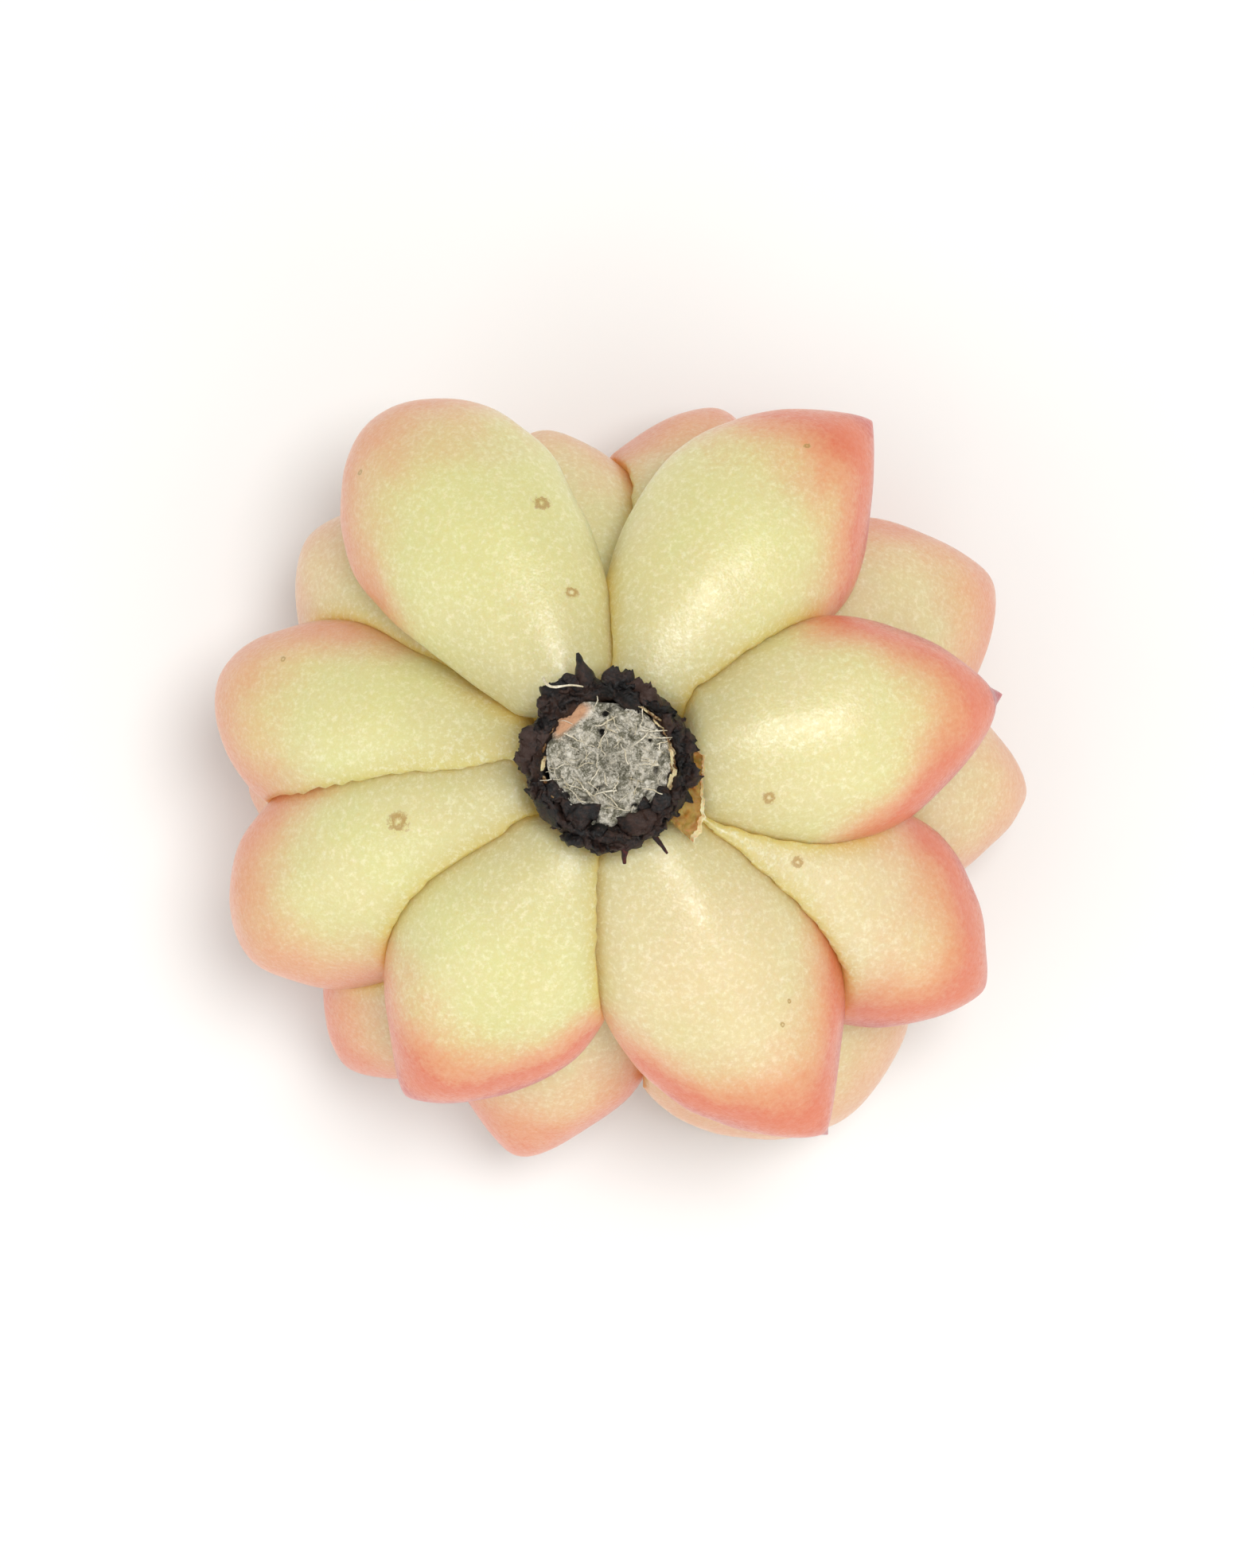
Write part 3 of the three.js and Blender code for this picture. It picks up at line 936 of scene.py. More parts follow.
@dataclass(frozen=True)
class DryMatter:
    """Dead plant matter: fibrous, with two tones that follow its relief, and crinkles in its surface."""

    name: str
    dark: str
    light: str
    grain: float  # mm
    roughness: tuple[float, float]
    relief: float  # mm
    coat: float = 0.0
    clearness: float = 0.0
    cover: float = 1.0

    def build(self) -> bpy.types.Material:
        """Makes the material."""
        material, tree = start_material(self.name)
        place = live_socket(add_node(tree, "ShaderNodeTexCoord").outputs, "Object")
        coarse = add_node(tree, "ShaderNodeTexNoise",
                          {"Vector": place, "Scale": 1 / (self.grain * 4 * MM), "Detail": 4.0})
        fine = add_node(tree, "ShaderNodeTexNoise",
                        {"Vector": place, "Scale": 1 / (self.grain * MM), "Detail": 6.0, "Roughness": 0.65,
                         "Distortion": 0.6})
        lit = live_socket(add_node(tree, "ShaderNodeAttribute", attribute_name="tone").outputs, "Fac")
        tones = work_out(tree, {"coarse": coarse.outputs[0], "fine": fine.outputs[0], "lit": lit}, [
            ("noise", "ADD", "coarse", "fine"),
            ("sum", "ADD", "noise", "lit"),
            ("centred", "SUBTRACT", "sum", 0.86),
            ("share", "MULTIPLY", "centred", 2.4),
            ("low", "MAXIMUM", "share", 0.0),
            ("tone", "MINIMUM", "low", 1.0),
            ("dull", "MULTIPLY_ADD", "fine", self.roughness[1] - self.roughness[0], self.roughness[0]),
        ])
        colour = paint(tree, linear(self.dark), (tones["tone"], self.light))
        feeds = {"Strength": 0.8, "Distance": self.relief * MM, "Height": fine}
        bump = add_node(tree, "ShaderNodeBump", feeds)
        feeds = {
            "Base Color": colour, "Roughness": tones["dull"], "Normal": bump, "Specular IOR Level": 0.25,
            "Coat Weight": self.coat, "Coat Roughness": 0.2, "Coat Normal": bump,
            "Subsurface Weight": self.clearness, "Subsurface Scale": 0.8 * MM, "Alpha": self.cover,
        }
        shader = add_node(tree, "ShaderNodeBsdfPrincipled", feeds)
        add_node(tree, "ShaderNodeOutputMaterial", {"Surface": shader})
        return material


@dataclass(frozen=True)
class PithFinish:
    """The dried cut face: pale grey spongy pith with painted shade in its pits, and one patch of orange-tan
    healed wood.
    """

    name: str = "dried stem pith"
    pale: str = "#e9e3d4"
    grey: str = "#76735f"
    # Painted shade in the sunken pits.
    pit: str = "#1d1915"
    tan: str = "#c99a76"

    def build(self) -> bpy.types.Material:
        """Makes the material."""
        material, tree = start_material(self.name)
        place = live_socket(add_node(tree, "ShaderNodeTexCoord").outputs, "Object")
        sponge = add_node(tree, "ShaderNodeTexNoise",
                          {"Vector": place, "Scale": 1 / (0.95 * MM), "Detail": 6.0, "Roughness": 0.72,
                           "Distortion": 0.8})
        fine = add_node(tree, "ShaderNodeTexNoise",
                        {"Vector": place, "Scale": 1 / (0.22 * MM), "Detail": 4.0, "Distortion": 1.2})
        hollow = add_node(tree, "ShaderNodeAttribute", attribute_name="pit")
        rim = add_node(tree, "ShaderNodeAttribute", attribute_name="healed")
        known = {
            "sponge": sponge.outputs[0], "fine": fine.outputs[0],
            "pit": live_socket(hollow.outputs, "Fac"), "healed": live_socket(rim.outputs, "Fac"),
        }
        mask = work_out(tree, known, [
            ("sponge up", "MULTIPLY", "sponge", 2.0),
            ("sum", "ADD", "sponge up", "fine"),
            ("centred", "SUBTRACT", "sum", 1.32),
            ("share", "MULTIPLY", "centred", 2.6),
            # Painted shade: near black where the face sinks into pits, and in a few random flecks of the
            # sponge.
            ("dark", "MULTIPLY_ADD", "sum", 0.45, "pit"),
            ("dark cut", "SUBTRACT", "dark", 0.86),
            ("pit shade share", "MULTIPLY", "dark cut", 2.6),
        ])
        coats = (mask["share"], self.grey), (mask["healed"], self.tan), (mask["pit shade share"], self.pit)
        colour = paint(tree, linear(self.pale), *coats)
        bump = add_node(tree, "ShaderNodeBump", {"Strength": 1.0, "Distance": 0.12 * MM, "Height": fine})
        shader = add_node(tree, "ShaderNodeBsdfPrincipled",
                          {"Base Color": colour, "Roughness": 0.88, "Normal": bump})
        add_node(tree, "ShaderNodeOutputMaterial", {"Surface": shader})
        return material


def loft(name: str, rings: list[list[Vector]], finish: bpy.types.Material) -> bpy.types.Mesh:
    """Makes a closed skin over rings of points, anticlockwise when seen from the last ring.

    Both ends are closed to their middles.

    Args:
        name: The mesh's name.
        rings: The rings, all with the same number of points.
        finish: The material.

    Returns:
        The mesh.
    """
    sides = len(rings[0])
    points = [p for ring in rings for p in ring]
    faces = []
    for low in range(0, len(points) - sides, sides):
        high = low + sides
        for i in range(sides):
            j = (i + 1) % sides
            faces.append((low + i, low + j, high + j, high + i))
    for start, forward in ((0, False), (len(points) - sides, True)):
        ring = points[start : start + sides]
        points.append(sum(ring, Vector()) / sides)
        for i in range(sides):
            edge = (start + i, start + (i + 1) % sides)
            faces.append((*edge, len(points) - 1) if forward else (*edge[::-1], len(points) - 1))
    mesh = bpy.data.meshes.new(name)
    mesh.from_pydata(points, [], faces)
    mesh.materials.append(finish)
    mesh.polygons.foreach_set("use_smooth", [True] * len(faces))
    mesh.update()
    return mesh


@dataclass
class CutStem:
    """The short stem, with its round cut face of spongy pith and loose fibres on it."""

    top: Vector
    radius: float = 4.45
    depth: float = 21.0
    shoulder: float = 11.5
    end_radius: float = 1.3
    sides: int = 240
    face_rings: int = 84
    bumps: float = 1.25
    pit_depth: float = 0.9
    healed_az: float = math.radians(131)
    healed_size: tuple[float, float] = (1.9, 0.8)
    fibres: int = 80

    def outline(self, az: float) -> float:
        """The cut face's radius at an angle, in mm: a little crooked, and wider at the healed part."""
        off = math.remainder(az - self.healed_az, math.tau)
        crooked = 1 + 0.02 * math.sin(3 * az + 0.7) + 0.014 * math.sin(7 * az)
        return self.radius * crooked * 0.97 + 0.55 * math.exp(-((off / 0.36) ** 2))

    def face_height(self, x: float, y: float) -> tuple[float, float]:
        """The cut face's relief.

        Args:
            x: Place across the face, in mm.
            y: Place up the face, in mm.

        Returns:
            The height over the cut plane in mm, and how deep in a pit the place is from 0 to 1.
        """
        sponge = noise.fractal(Vector((x * 1.3, y * 1.3, 3.1)), 0.55, 2.2, 6)
        warp = noise.noise_vector(Vector((x * 1.2, y * 1.2, 5.0))) * 0.35
        cell = noise.voronoi(Vector((x * 0.75 + 1.6 * warp.x, y * 1.1 + 1.6 * warp.y, 0.4)))[0][0]
        chosen = noise.noise(Vector((x * 0.5, y * 0.5, 8.2)))
        pit = max(0.0, 1 - cell * 2.9) * min(1.0, max(0.0, chosen * 4 + 0.7))
        smooth = 1 - 0.85 * self.healed(x, y)
        height = self.bumps * (sponge * 0.5 - 0.25) - self.pit_depth * min(1.0, pit * 1.6)
        return smooth * height, pit * smooth

    def healed(self, x: float, y: float) -> float:
        """How far a place on the face, in mm, belongs to the healed patch, from 0 to 1."""
        r = math.hypot(x, y)
        u = math.remainder(math.atan2(y, x) - self.healed_az, math.tau) * r
        away = math.hypot(u / self.healed_size[0], (r - 4.25) / self.healed_size[1])
        return max(0.0, min(1.0, 3.2 - 3.2 * away))

    def build(self, finish: bpy.types.Material, skin: bpy.types.Material, fibre: bpy.types.Material) -> None:
        """Makes the stem and its fibres.

        Args:
            finish: The pith's material.
            skin: The material of the stem's sides.
            fibre: The fibres' material.
        """
        turns = [math.tau * i / self.sides for i in range(self.sides)]
        rings = []
        walls = [(self.end_radius, self.depth)]
        walls += [(self.radius, down) for down in (self.shoulder, 5.0, 1.0)]
        for radius, down in walls:
            rings.append([self.at(a, radius * self.outline(a) / self.radius, -down) for a in turns])
        pits = [0.0] * self.sides * len(rings)
        for k in range(self.face_rings):
            share = 1 - k / self.face_rings
            ring = []
            for a in turns:
                r = share * self.outline(a)
                z, pit = self.face_height(r * math.cos(a), r * math.sin(a))
                ring.append(self.at(a, r, z - 0.45 * share**8))
                pits.append(pit)
            rings.append(ring)
        mesh = loft("stem_pith", rings, finish)
        mesh.materials.append(skin)
        for face in mesh.polygons[: self.sides * (len(walls) - 1)]:
            face.material_index = 1
        pits += [0.0] * (len(mesh.vertices) - len(pits))
        write_numbers(mesh, "pit", np.array(pits))
        place = (mesh_points(mesh) - np.array(self.top)) / MM
        write_numbers(mesh, "healed", np.array([self.healed(x, y) for x, y, _ in place]))
        add_piece("stem_pith", mesh, "stem_pith", "stem")
        values = {
            "Count": self.fibres, "Spread": self.radius * 0.86 * MM, "Length": 1.4 * MM, "Radius": 0.033 * MM,
            "Curl": 0.9 * MM, "Centre": self.top + Vector((0, 0, -0.02 * MM)), "Finish": fibre,
        }
        add_piece("pith_fibres", grow(fibre_tree(), values), "stem_pith")

    def at(self, az: float, radius: float, height: float) -> Vector:
        """A point in the row frame from an angle, a radius and a height over the cut plane, in mm."""
        return self.top + Vector((radius * math.cos(az), radius * math.sin(az), height)) * MM


def fibre_tree() -> bpy.types.NodeTree:
    """Makes the tree that scatters short bent fibres over a disc.

    Returns:
        The tree.
    """
    numbers = ("Spread", "Length", "Radius", "Curl")
    inputs = {name: Kind.NUMBER for name in numbers}
    inputs |= {"Count": Kind.COUNT, "Centre": Kind.VECTOR, "Finish": Kind.FINISH}
    tree, size = new_tree("pith fibres", inputs)
    chance = [
        add_node(tree, "FunctionNodeRandomValue", {"Min": 0.0, "Max": 1.0, "Seed": seed}, data_type="FLOAT")
        for seed in range(5)
    ]
    random = {f"chance {i}": live_socket(node.outputs, "Value") for i, node in enumerate(chance)}
    spot = work_out(tree, {**size, **random}, [
        ("root", "SQRT", "chance 0"),
        ("r", "MULTIPLY", "root", "Spread"),
        ("turn", "MULTIPLY", "chance 1", math.tau),
        ("cos", "COSINE", "turn"),
        ("sin", "SINE", "turn"),
        ("x", "MULTIPLY", "r", "cos"),
        ("y", "MULTIPLY", "r", "sin"),
        ("spin", "MULTIPLY", "chance 2", math.tau),
        ("tilt raw", "SUBTRACT", "chance 3", 0.5),
        ("tilt", "MULTIPLY", "tilt raw", 0.5),
        ("scale", "MULTIPLY_ADD", "chance 4", 0.9, 0.35),
    ])
    place = add_node(tree, "ShaderNodeCombineXYZ", {0: spot["x"], 1: spot["y"]})
    points = add_node(tree, "GeometryNodePoints", {"Count": size["Count"], "Position": place})
    end = add_node(tree, "ShaderNodeCombineXYZ", {0: size["Length"]})
    line = add_node(tree, "GeometryNodeCurvePrimitiveLine", {"End": end})
    steps = add_node(tree, "GeometryNodeResampleCurve", {"Curve": line, "Count": 7})
    around = add_node(tree, "GeometryNodeCurvePrimitiveCircle", {"Resolution": 5, "Radius": size["Radius"]})
    feeds = {"Curve": steps, "Profile Curve": around, "Fill Caps": True}
    strand = add_node(tree, "GeometryNodeCurveToMesh", feeds)
    turn = add_node(tree, "ShaderNodeCombineXYZ", {1: spot["tilt"], 2: spot["spin"]})
    strands = add_node(tree, "GeometryNodeInstanceOnPoints",
                       {"Points": points, "Instance": strand, "Rotation": turn, "Scale": spot["scale"]})
    real = add_node(tree, "GeometryNodeRealizeInstances", {"Geometry": strands})
    curl = wobble(tree, 1.1, size["Curl"], 1.0)
    bent = add_node(tree, "GeometryNodeSetPosition", {"Geometry": real, "Offset": curl})
    moved = add_node(tree, "GeometryNodeTransform", {"Geometry": bent, "Translation": size["Centre"]})
    end_tree(tree, moved, size["Finish"])
    return tree


@dataclass(frozen=True)
class FlakeRow:
    """One row of bark flakes along an arc around the stem. Sizes are in mm and angles in degrees."""

    count: int
    radius: float
    height: float
    size: tuple[float, float, float]  # along the arc, outwards, thick
    tilt: tuple[float, float]
    start: float = 0.0
    sweep: float = 352.0
    lit: float = 0.0
    wander: float = 1.0


OUTER_BARK = (
    FlakeRow(34, 5.3, -1.5, (1.2, 0.9, 0.22), (-60, 5)),
    FlakeRow(24, 5.2, -0.6, (1.7, 1.5, 0.18), (10, 80)),
    FlakeRow(20, 4.75, -0.25, (1.8, 1.4, 0.16), (40, 105)),
    FlakeRow(24, 5.65, -1.7, (0.55, 0.8, 0.2), (-60, -5)),
    FlakeRow(26, 5.15, -3.3, (1.5, 1.3, 0.2), (-85, -45)),
    FlakeRow(4, 4.15, -0.05, (2.2, 1.4, 0.2), (-10, 25), start=-150, sweep=30),
    FlakeRow(4, 4.3, -0.05, (2.0, 1.2, 0.2), (-10, 25), start=-64, sweep=30),
    FlakeRow(4, 5.9, -0.5, (2.2, 2.0, 0.24), (-12, 12), start=117, sweep=20, wander=0.4),
    FlakeRow(2, 5.85, -0.4, (1.7, 1.5, 0.24), (-5, 15), start=78, sweep=9, wander=0.4),
    FlakeRow(2, 5.35, 0.1, (2.5, 1.4, 0.2), (15, 30), start=59, sweep=7, lit=0.4, wander=0.2),
    FlakeRow(3, 5.5, -0.1, (2.3, 1.7, 0.22), (0, 25), start=161, sweep=14, lit=0.25, wander=0.3),
    FlakeRow(3, 5.75, -1.0, (2.2, 1.1, 0.22), (-25, 5), start=-97, sweep=20, wander=0.4),
)
INNER_BARK = (
    FlakeRow(11, 4.4, -0.25, (0.95, 0.55, 0.1), (55, 110), start=-18, sweep=80, wander=0.5),
    FlakeRow(4, 4.45, -0.1, (0.8, 0.3, 0.08), (0, 50), start=-16, sweep=24, lit=0.3, wander=0.4),
    FlakeRow(5, 4.5, -0.3, (0.9, 0.5, 0.1), (60, 110), start=150, sweep=60, wander=0.5),
)


@dataclass
class Bark:
    """Dead bark around the stem: rows of curled flakes, on a crinkled ring where it is thick."""

    name: str
    top: Vector
    rows: tuple[FlakeRow, ...]
    crinkle: float
    has_ring: bool
    ring_radius: float = 5.0
    ring_thick: float = 0.8
    ring_height: float = -1.95
    ring_stretch: float = 2.3

    def tree(self) -> bpy.types.NodeTree:
        """Makes the tree of the flakes and the ring."""
        inputs = {name: Kind.NUMBER for name in ("Ring Radius", "Ring Thickness", "Ring Height", "Crinkle")}
        inputs |= {"Centre": Kind.VECTOR, "Finish": Kind.FINISH}
        tree, size = new_tree(self.name, inputs)
        join = add_node(tree, "GeometryNodeJoinGeometry")
        if self.has_ring:
            path = add_node(tree, "GeometryNodeCurvePrimitiveCircle",
                            {"Resolution": 300, "Radius": size["Ring Radius"]})
            section = add_node(tree, "GeometryNodeCurvePrimitiveCircle",
                               {"Resolution": 36, "Radius": size["Ring Thickness"]})
            ring = add_node(tree, "GeometryNodeCurveToMesh", {"Curve": path, "Profile Curve": section})
            lift = add_node(tree, "ShaderNodeCombineXYZ", {2: size["Ring Height"]})
            ring = add_node(tree, "GeometryNodeTransform",
                            {"Geometry": ring, "Translation": lift, "Scale": (1.0, 1.0, self.ring_stretch)})
            tree.links.new(ring.outputs[0], join.inputs[0])
        for number, row in enumerate(self.rows):
            self.scatter(tree, join, row, number * 10)

        real = add_node(tree, "GeometryNodeRealizeInstances", {"Geometry": join})
        offset: Any = (0.0, 0.0, 0.0)
        for grain, share in ((1.5, 0.55), (0.5, 0.32), (0.22, 0.16)):
            strength = add_node(tree, "ShaderNodeMath", {0: size["Crinkle"], 1: share}, operation="MULTIPLY")
            feeds = {0: wobble(tree, grain, strength, 2.0), 1: offset}
            offset = add_node(tree, "ShaderNodeVectorMath", feeds, operation="ADD").outputs[0]
        bent = add_node(tree, "GeometryNodeSetPosition", {"Geometry": real, "Offset": offset})
        moved = add_node(tree, "GeometryNodeTransform", {"Geometry": bent, "Translation": size["Centre"]})
        end_tree(tree, moved, size["Finish"])
        return tree

    @staticmethod
    def flake(tree: bpy.types.NodeTree, row: FlakeRow) -> Any:
        """Adds one curled flake that narrows to its outer end.

        Args:
            tree: The tree.
            row: The row that it is for.

        Returns:
            The node with the flake.
        """
        feeds = {"Size": [s * MM for s in row.size], "Vertices X": 17, "Vertices Y": 11, "Vertices Z": 2}
        flake = add_node(tree, "GeometryNodeMeshCube", feeds)
        spot = add_node(tree, "ShaderNodeSeparateXYZ", {0: add_node(tree, "GeometryNodeInputPosition")})
        curl = work_out(tree, {"x": spot.outputs[0], "y": spot.outputs[1]}, [
            ("xx", "MULTIPLY", "x", "x"),
            ("sag", "MULTIPLY", "xx", -0.3 / MM),
            ("out", "DIVIDE", "y", row.size[1] * MM / 2),
            ("ahead", "MAXIMUM", "out", 0.0),
            ("narrowing", "MULTIPLY", "ahead", -0.7),
            ("inwards", "MULTIPLY", "narrowing", "x"),
        ])
        offset = add_node(tree, "ShaderNodeCombineXYZ", {0: curl["inwards"], 2: curl["sag"]})
        return add_node(tree, "GeometryNodeSetPosition",
                        {"Geometry": live_socket(flake.outputs, "Mesh"), "Offset": offset})

    def scatter(self, tree: bpy.types.NodeTree, join: Any, row: FlakeRow, seed: int) -> None:
        """Sets flakes along a row, each turned outwards with its own tilt, size and tone.

        Args:
            tree: The tree.
            join: The Join Geometry node that collects the flakes.
            row: The row that the flakes follow.
            seed: The first seed of the random values.
        """
        feeds = {
            "Resolution": row.count, "Radius": row.radius * MM,
            "Start Angle": math.radians(row.start), "Sweep Angle": math.radians(row.sweep),
        }
        arc = add_node(tree, "GeometryNodeCurveArc", feeds, mode="RADIUS")
        spot = add_node(tree, "ShaderNodeSeparateXYZ", {0: add_node(tree, "GeometryNodeInputPosition")})
        low, high = (math.radians(t) for t in row.tilt)
        span = row.wander
        random = {}
        ranges = {
            "tilt": (low, high),
            "roll": (-0.35, 0.35),
            "yaw": (-0.5 * span, 0.5 * span),
            "scale": (1 - 0.4 * span, 1 + 0.35 * span),
            "shift": (-0.3 * span, 0.3 * span),
            "rise": (-0.35 * span, 0.35 * span),
            "tone": (row.lit - 0.15, row.lit + 0.2),
        }
        for name, (least, most) in ranges.items():
            seed += 1
            feeds = {"Min": least, "Max": most, "Seed": seed}
            chance = add_node(tree, "FunctionNodeRandomValue", feeds, data_type="FLOAT")
            random[name] = live_socket(chance.outputs, "Value")
        turn = work_out(tree, {"x": spot.outputs[0], "y": spot.outputs[1], **random}, [
            ("az", "ARCTAN2", "y", "x"),
            ("outwards", "SUBTRACT", "az", math.pi / 2),
            ("turn", "ADD", "outwards", "yaw"),
            ("cos", "COSINE", "az"),
            ("sin", "SINE", "az"),
            ("mm shift", "MULTIPLY", "shift", MM),
            ("dx", "MULTIPLY", "mm shift", "cos"),
            ("dy", "MULTIPLY", "mm shift", "sin"),
            ("dz", "MULTIPLY_ADD", "rise", MM, row.height * MM),
        ])
        drift = add_node(tree, "ShaderNodeCombineXYZ", {0: turn["dx"], 1: turn["dy"], 2: turn["dz"]})
        spots = add_node(tree, "GeometryNodeSetPosition", {"Geometry": live_socket(arc.outputs, "Curve"),
                                                          "Offset": drift})
        points = add_node(tree, "GeometryNodeCurveToPoints", {"Curve": spots}, mode="EVALUATED")
        feeds = {0: random["tilt"], 1: random["roll"], 2: turn["turn"]}
        rotation = add_node(tree, "ShaderNodeCombineXYZ", feeds)
        copies = add_node(tree, "GeometryNodeInstanceOnPoints",
                          {"Points": points, "Instance": self.flake(tree, row), "Rotation": rotation,
                           "Scale": random["scale"]})
        toned = add_node(tree, "GeometryNodeStoreNamedAttribute",
                         {"Geometry": copies, "Name": "tone", "Value": random["tone"]},
                         data_type="FLOAT", domain="INSTANCE")
        tree.links.new(toned.outputs[0], join.inputs[0])

    def build(self, finish: bpy.types.Material, slot: str, *nodes: str) -> None:
        """Makes the bark.

        Args:
            finish: Its material.
            slot: The record's material slot.
            nodes: The CAD nodes that it stands for.
        """
        values = {
            "Ring Radius": self.ring_radius * MM, "Ring Thickness": self.ring_thick * MM,
            "Ring Height": self.ring_height * MM, "Crinkle": self.crinkle * MM,
            "Centre": self.top, "Finish": finish,
        }
        add_piece(self.name, grow(self.tree(), values), slot, *nodes)


@dataclass(frozen=True)
class Stub:
    """A dried stub that tapers along a bent line. Points are in mm in the plant's frame."""

    node: str
    radius: float
    points: tuple[tuple[float, float, float], ...]


@dataclass
class Stubs:
    """The root stubs and the spike that stand out of the collar, and a pale fibre that lies on it."""

    top: Vector
    sides: int = 14
    fine_points: int = 61
    roundings: int = 60
    stubs: tuple[Stub, ...] = (
        Stub("root_stub_1", 0.95, ((-1.5, 5.3, -1.4), (-1.7, 6.1, -0.9), (-1.9, 6.8, -0.7),
                                   (-2.15, 7.65, -0.9))),
        Stub("root_stub_2", 0.36, ((1.1, -5.2, -1.3), (1.15, -5.9, -1.2), (1.05, -6.4, -1.35),
                                   (1.1, -6.9, -1.6))),
        Stub("root_stub_3", 0.27, ((2.9, -4.6, -0.9), (3.3, -5.2, -0.9), (3.7, -5.7, -1.2),
                                   (4.05, -6.2, -1.5))),
    )
    fibre: Stub = Stub("", 0.11, ((-4.5, 5.9, 0.2), (-4.35, 5.4, 0.45), (-3.8, 5.15, 0.6), (-3.1, 5.4, 0.55),
                                  (-2.4, 5.45, 0.5), (-1.75, 5.3, 0.35)))

    def tube(
        self, name: str, stub: Stub, finish: bpy.types.Material, taper: float, rings: int = 26
    ) -> bpy.types.Mesh:
        """Makes a crooked round rod along a stub's line.

        Args:
            name: The mesh's name.
            stub: The line and its first radius.
            finish: The material.
            taper: The last radius as a share of the first.
            rings: How many rings the rod has.

        Returns:
            The mesh.
        """
        rows = []
        given = np.array(stub.points)
        at = np.linspace(0, 1, len(given))
        fine_at = np.linspace(0, 1, self.fine_points)
        shares = np.linspace(0, 1, rings)
        fine = np.stack([np.interp(fine_at, at, given[:, k]) for k in range(3)], 1)
        for _ in range(self.roundings):
            fine[1:-1] = (fine[:-2] + fine[2:]) / 2
        line = np.stack([np.interp(shares, fine_at, fine[:, k]) for k in range(3)], 1)
        for k, share in enumerate(shares):
            ahead = Vector(line[min(k + 1, rings - 1)] - line[max(k - 1, 0)]).normalized()
            aside = ahead.cross(Vector((0, 0, 1))).normalized()
            above = aside.cross(ahead)
            radius = stub.radius * (1 + (taper - 1) * share)
            ring = []
            for i in range(self.sides):
                turn = math.tau * i / self.sides
                out = aside * math.cos(turn) - above * math.sin(turn)
                spot = Vector(line[k]) + out * radius
                wrinkle = 1 + 0.28 * noise.noise(spot * 2.2)
                ring.append(self.top + (Vector(line[k]) + out * radius * wrinkle) * MM)
            rows.append(ring)
        return loft(name, rows, finish)

    def build(self, root: bpy.types.Material, bark: bpy.types.Material, fibre: bpy.types.Material) -> None:
        """Makes the stubs and the fibre.

        Args:
            root: The root stubs' material.
            bark: The spike's material.
            fibre: The fibre's material.
        """
        for i, stub in enumerate(self.stubs):
            name = f"{stub.node}_dried"
            mesh = self.tube(name, stub, root if i else bark, 0.12 if i == 0 else 0.3)
            add_piece(name, mesh, "dry_root", stub.node)
        add_piece("loose_fibre", self.tube("loose_fibre", self.fibre, fibre, 0.5, 40), "dry_husk")


@dataclass
class Husk:
    """The remnant of a dried leaf base: a thin film beside the bark, with a pale torn edge."""

    top: Vector
    first_az: float = -43.0
    last_az: float = 16.0
    inner: float = 5.8
    thick: float = 0.07
    steps: int = 90
    rows: int = 18

    def outer(self, az: float) -> float:
        """The torn edge's radius at an angle in degrees, in mm."""
        flare = max(0.0, min(1.0, (-az - 8) / 28))
        wide = noise.noise(Vector((az * 0.16, 4.0, 0)))
        narrow = noise.noise(Vector((az * 0.5, 9.0, 0)))
        tear = 0.34 * wide + 0.22 * narrow
        close = max(0.0, min(1.0, (self.last_az - az) / 12))
        return self.inner + (0.8 + 1.35 * flare**1.5) * close + tear * close + 0.05

    def build(self, film: bpy.types.Material, torn: bpy.types.Material) -> None:
        """Makes the husk.

        Args:
            film: The film's material.
            torn: The torn edge's material.
        """
        rings = []
        for i in range(self.steps):
            az = self.first_az + (self.last_az - self.first_az) * i / (self.steps - 1)
            turn = math.radians(az)
            far = self.outer(az)
            above, below = [], []
            for k in range(self.rows):
                share = k / (self.rows - 1)
                r = self.inner + (far - self.inner) * share
                wave = noise.noise(Vector((r * 1.9, az * 0.22, 2.0)))
                z = -2.45 - 0.4 * (r - self.inner) ** 1.2 + 0.5 * wave + 0.35 * share**6
                for side, half in ((above, self.thick), (below, -self.thick)):
                    side.append(self.top + Vector((r * math.cos(turn), r * math.sin(turn), z + half)) * MM)
            rings.append(above + below[::-1])
        mesh = loft("leaf_husk_film", rings, film)
        mesh.materials.append(torn)
        sides = 2 * self.rows
        edge = range(self.rows - 4, self.rows + 4)
        for face in mesh.polygons:
            if all(v < sides * self.steps and v % sides in edge for v in face.vertices):
                face.material_index = 1
        add_piece("leaf_husk_film", mesh, "dry_husk", "leaf_husk")


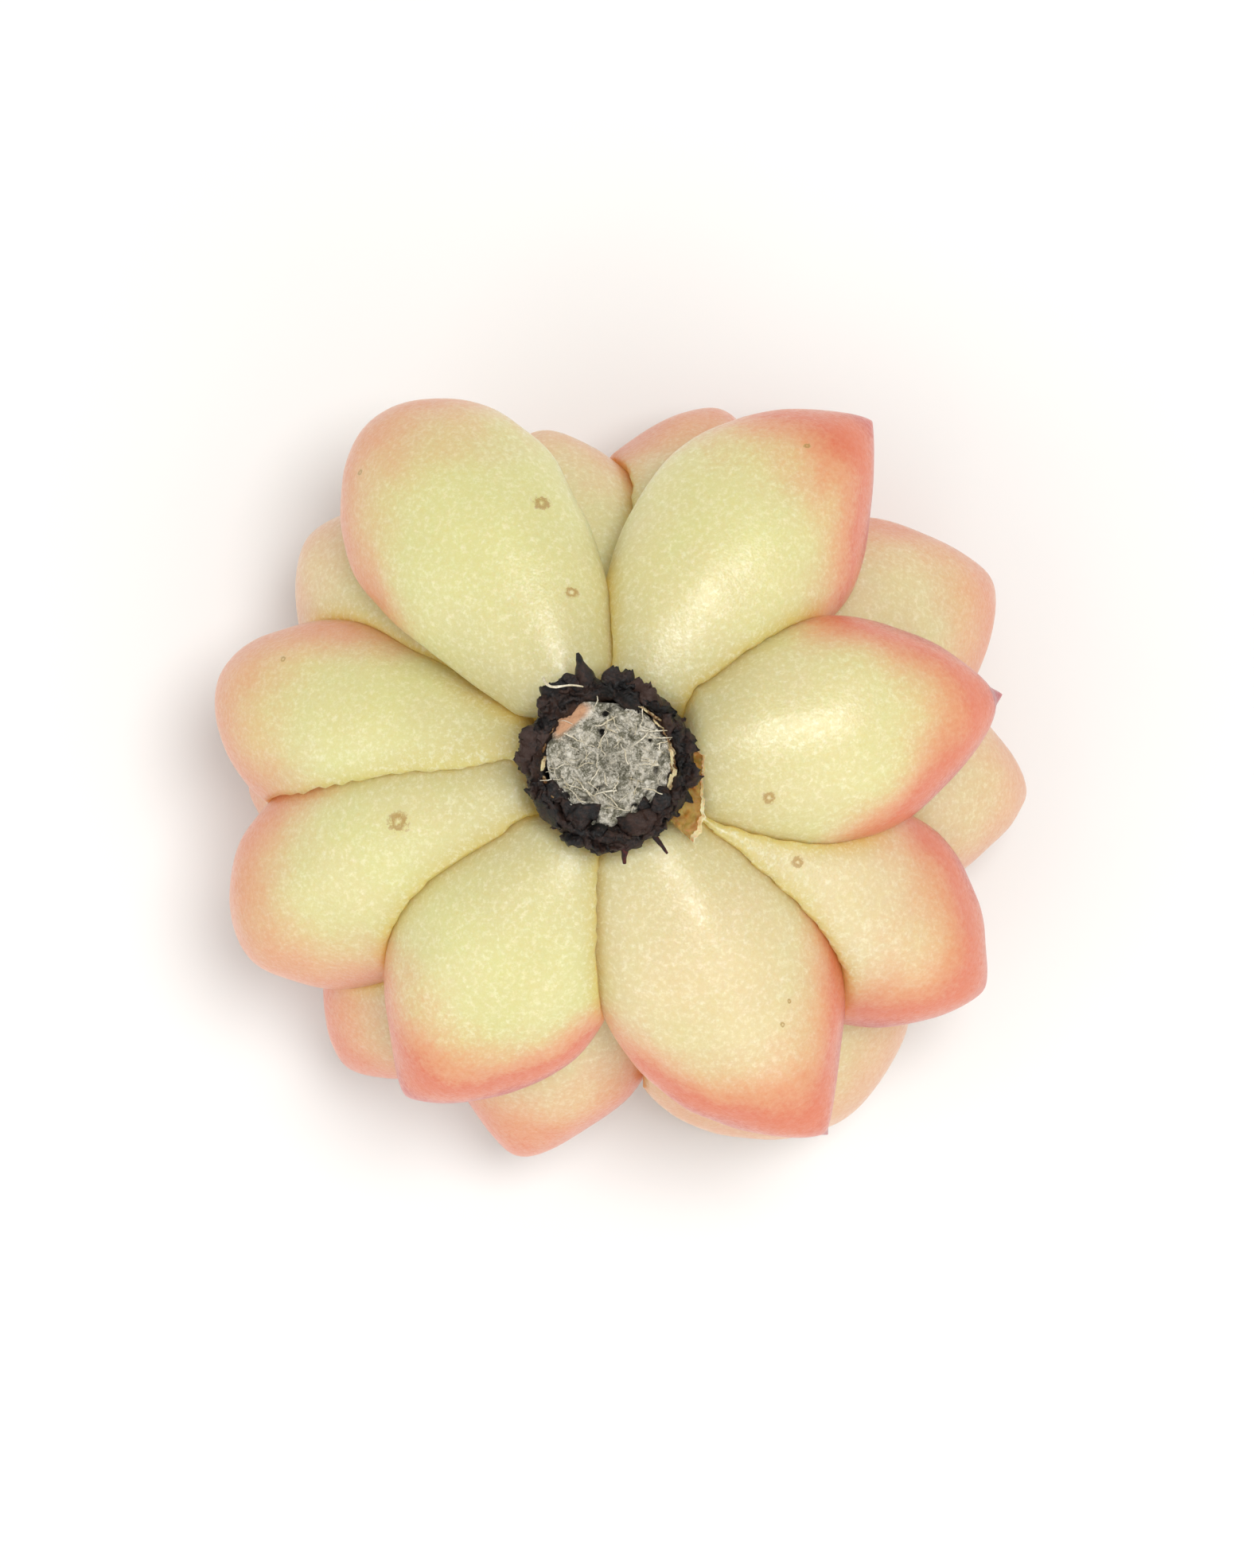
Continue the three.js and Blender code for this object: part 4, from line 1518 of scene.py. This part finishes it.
@dataclass
class Stage:
    """A plain pale floor, soft light from above and the camera that looks straight down."""

    top: Vector
    camera_height: float = 0.300
    lens: float = 100.0
    shift: tuple[float, float] = (0.0117, -0.0129)

    def build(self) -> None:
        """Makes the floor, the lights and the camera."""
        self.floor()
        self.light("key", (0.13, 0.09, 0.62), 0.28, 2.0)
        self.light("fill", (-0.45, -0.25, 0.45), 0.70, 1.15)
        self.light("far side", (0.30, -0.50, 0.40), 0.60, 0.9)
        world = bpy.data.worlds.new("studio")
        world.use_nodes = True
        background = world.node_tree.nodes["Background"]
        background.inputs["Color"].default_value = linear("#fbfaf7")
        background.inputs["Strength"].default_value = 0.5
        bpy.context.scene.world = world
        bpy.context.scene.view_settings.view_transform = "Standard"
        camera = bpy.data.cameras.new("camera")
        camera.lens = self.lens
        camera.sensor_width = 36
        camera.shift_x, camera.shift_y = self.shift
        camera.clip_start = 0.01
        holder = bpy.data.objects.new("camera", camera)
        holder.location = self.top + Vector((0, 0, self.camera_height))
        bpy.context.scene.collection.objects.link(holder)
        bpy.context.scene.camera = holder

    def light(self, name: str, place: tuple[float, float, float], size: float, power: float) -> None:
        """Adds a round soft light that points at the rosette.

        Args:
            name: The light's name.
            place: Its place in metres.
            size: Its width in metres.
            power: Its power in watts.
        """
        lamp = bpy.data.lights.new(name, "AREA")
        lamp.shape = "DISK"
        lamp.size = size
        lamp.energy = power
        holder = bpy.data.objects.new(name, lamp)
        holder.location = place
        aim = Vector((0, 0, 0.015)) - Vector(place)
        holder.rotation_euler = aim.to_track_quat("-Z", "Y").to_euler()
        bpy.context.scene.collection.objects.link(holder)

    @staticmethod
    def floor() -> None:
        """Adds the floor, with a matte painted finish."""
        half = 3.0
        mesh = bpy.data.meshes.new("floor")
        corners = [(-half, -half, 0), (half, -half, 0), (half, half, 0), (-half, half, 0)]
        mesh.from_pydata(corners, [], [(0, 1, 2, 3)])
        material = bpy.data.materials.new("matte white board")
        material.use_nodes = True
        shader = material.node_tree.nodes["Principled BSDF"]
        shader.inputs["Base Color"].default_value = linear("#fbfaf8")
        shader.inputs["Roughness"].default_value = 0.9
        mesh.materials.append(material)
        board = bpy.data.objects.new("floor", mesh)
        bpy.context.scene.collection.objects.link(board)


def main() -> None:
    """Builds the stage and the plant."""
    logging.basicConfig(level=logging.INFO, format="%(message)s")
    noise.seed_set(NOISE_SEED)
    low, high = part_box("stem")
    top = Vector(((low.x + high.x) / 2, (low.y + high.y) / 2, high.z))
    Stage(top).build()

    skins = {
        Layer.OUTER: LeafSkin("waxy leaf skin").build(),
        Layer.SECOND: LeafSkin("waxy leaf skin, shaded").build(),
        Layer.YOUNG: LeafSkin("waxy young leaf skin", centre="#dfe6a8").build(),
    }
    # Pale straw strands, nearly matte.
    pith_fibre = DryMatter("dried pith fibre", "#c9bc9c", "#f6efdc", 0.2, (0.7, 0.95), 0.03)
    # Near-black crinkled flakes with small glints on their ridges.
    dead_bark = DryMatter("dead crinkled bark", "#020101", "#3a251c", 0.22, (0.35, 0.8), 0.14, coat=0.35)
    # Straw-coloured shreds, thin enough to let a little light in.
    inner_bark = DryMatter("dried inner bark", "#6a4a2a", "#ecd2a2", 0.3, (0.5, 0.85), 0.06, clearness=0.2)
    # Mottled brown cork.
    stem_skin = DryMatter("corky stem skin", "#4a321c", "#a58a52", 0.4, (0.6, 0.9), 0.08)
    # Dark red points, a little shiny.
    dry_root = DryMatter("dried root", "#1c0504", "#61201a", 0.3, (0.35, 0.7), 0.05, coat=0.2)
    # Amber film that the leaves behind it show through.
    film = DryMatter("dried leaf film", "#a8782c", "#d4a95a", 0.5, (0.3, 0.6), 0.05,
                     coat=0.3, clearness=0.8, cover=0.55)
    # The pale line where it tore.
    torn = DryMatter("torn pale husk edge", "#e6c68e", "#fbedc8", 0.3, (0.4, 0.7), 0.04, clearness=0.6)

    Rosette(top, table=cad_box[0].z).build(skins)
    fibre_finish = pith_fibre.build()
    bark_finish = dead_bark.build()
    CutStem(top).build(PithFinish().build(), stem_skin.build(), fibre_finish)
    outer = Bark("bark_flakes", top, OUTER_BARK, crinkle=1.5, has_ring=True)
    outer.build(bark_finish, "dead_bark", "bark_collar")
    inner = Bark("inner_bark_flakes", top, INNER_BARK, crinkle=0.9, has_ring=False)
    inner.build(inner_bark.build(), "dead_bark")
    Stubs(top).build(dry_root.build(), bark_finish, fibre_finish)
    Husk(top).build(film.build(), torn.build())


if __name__ == "__main__":
    main()
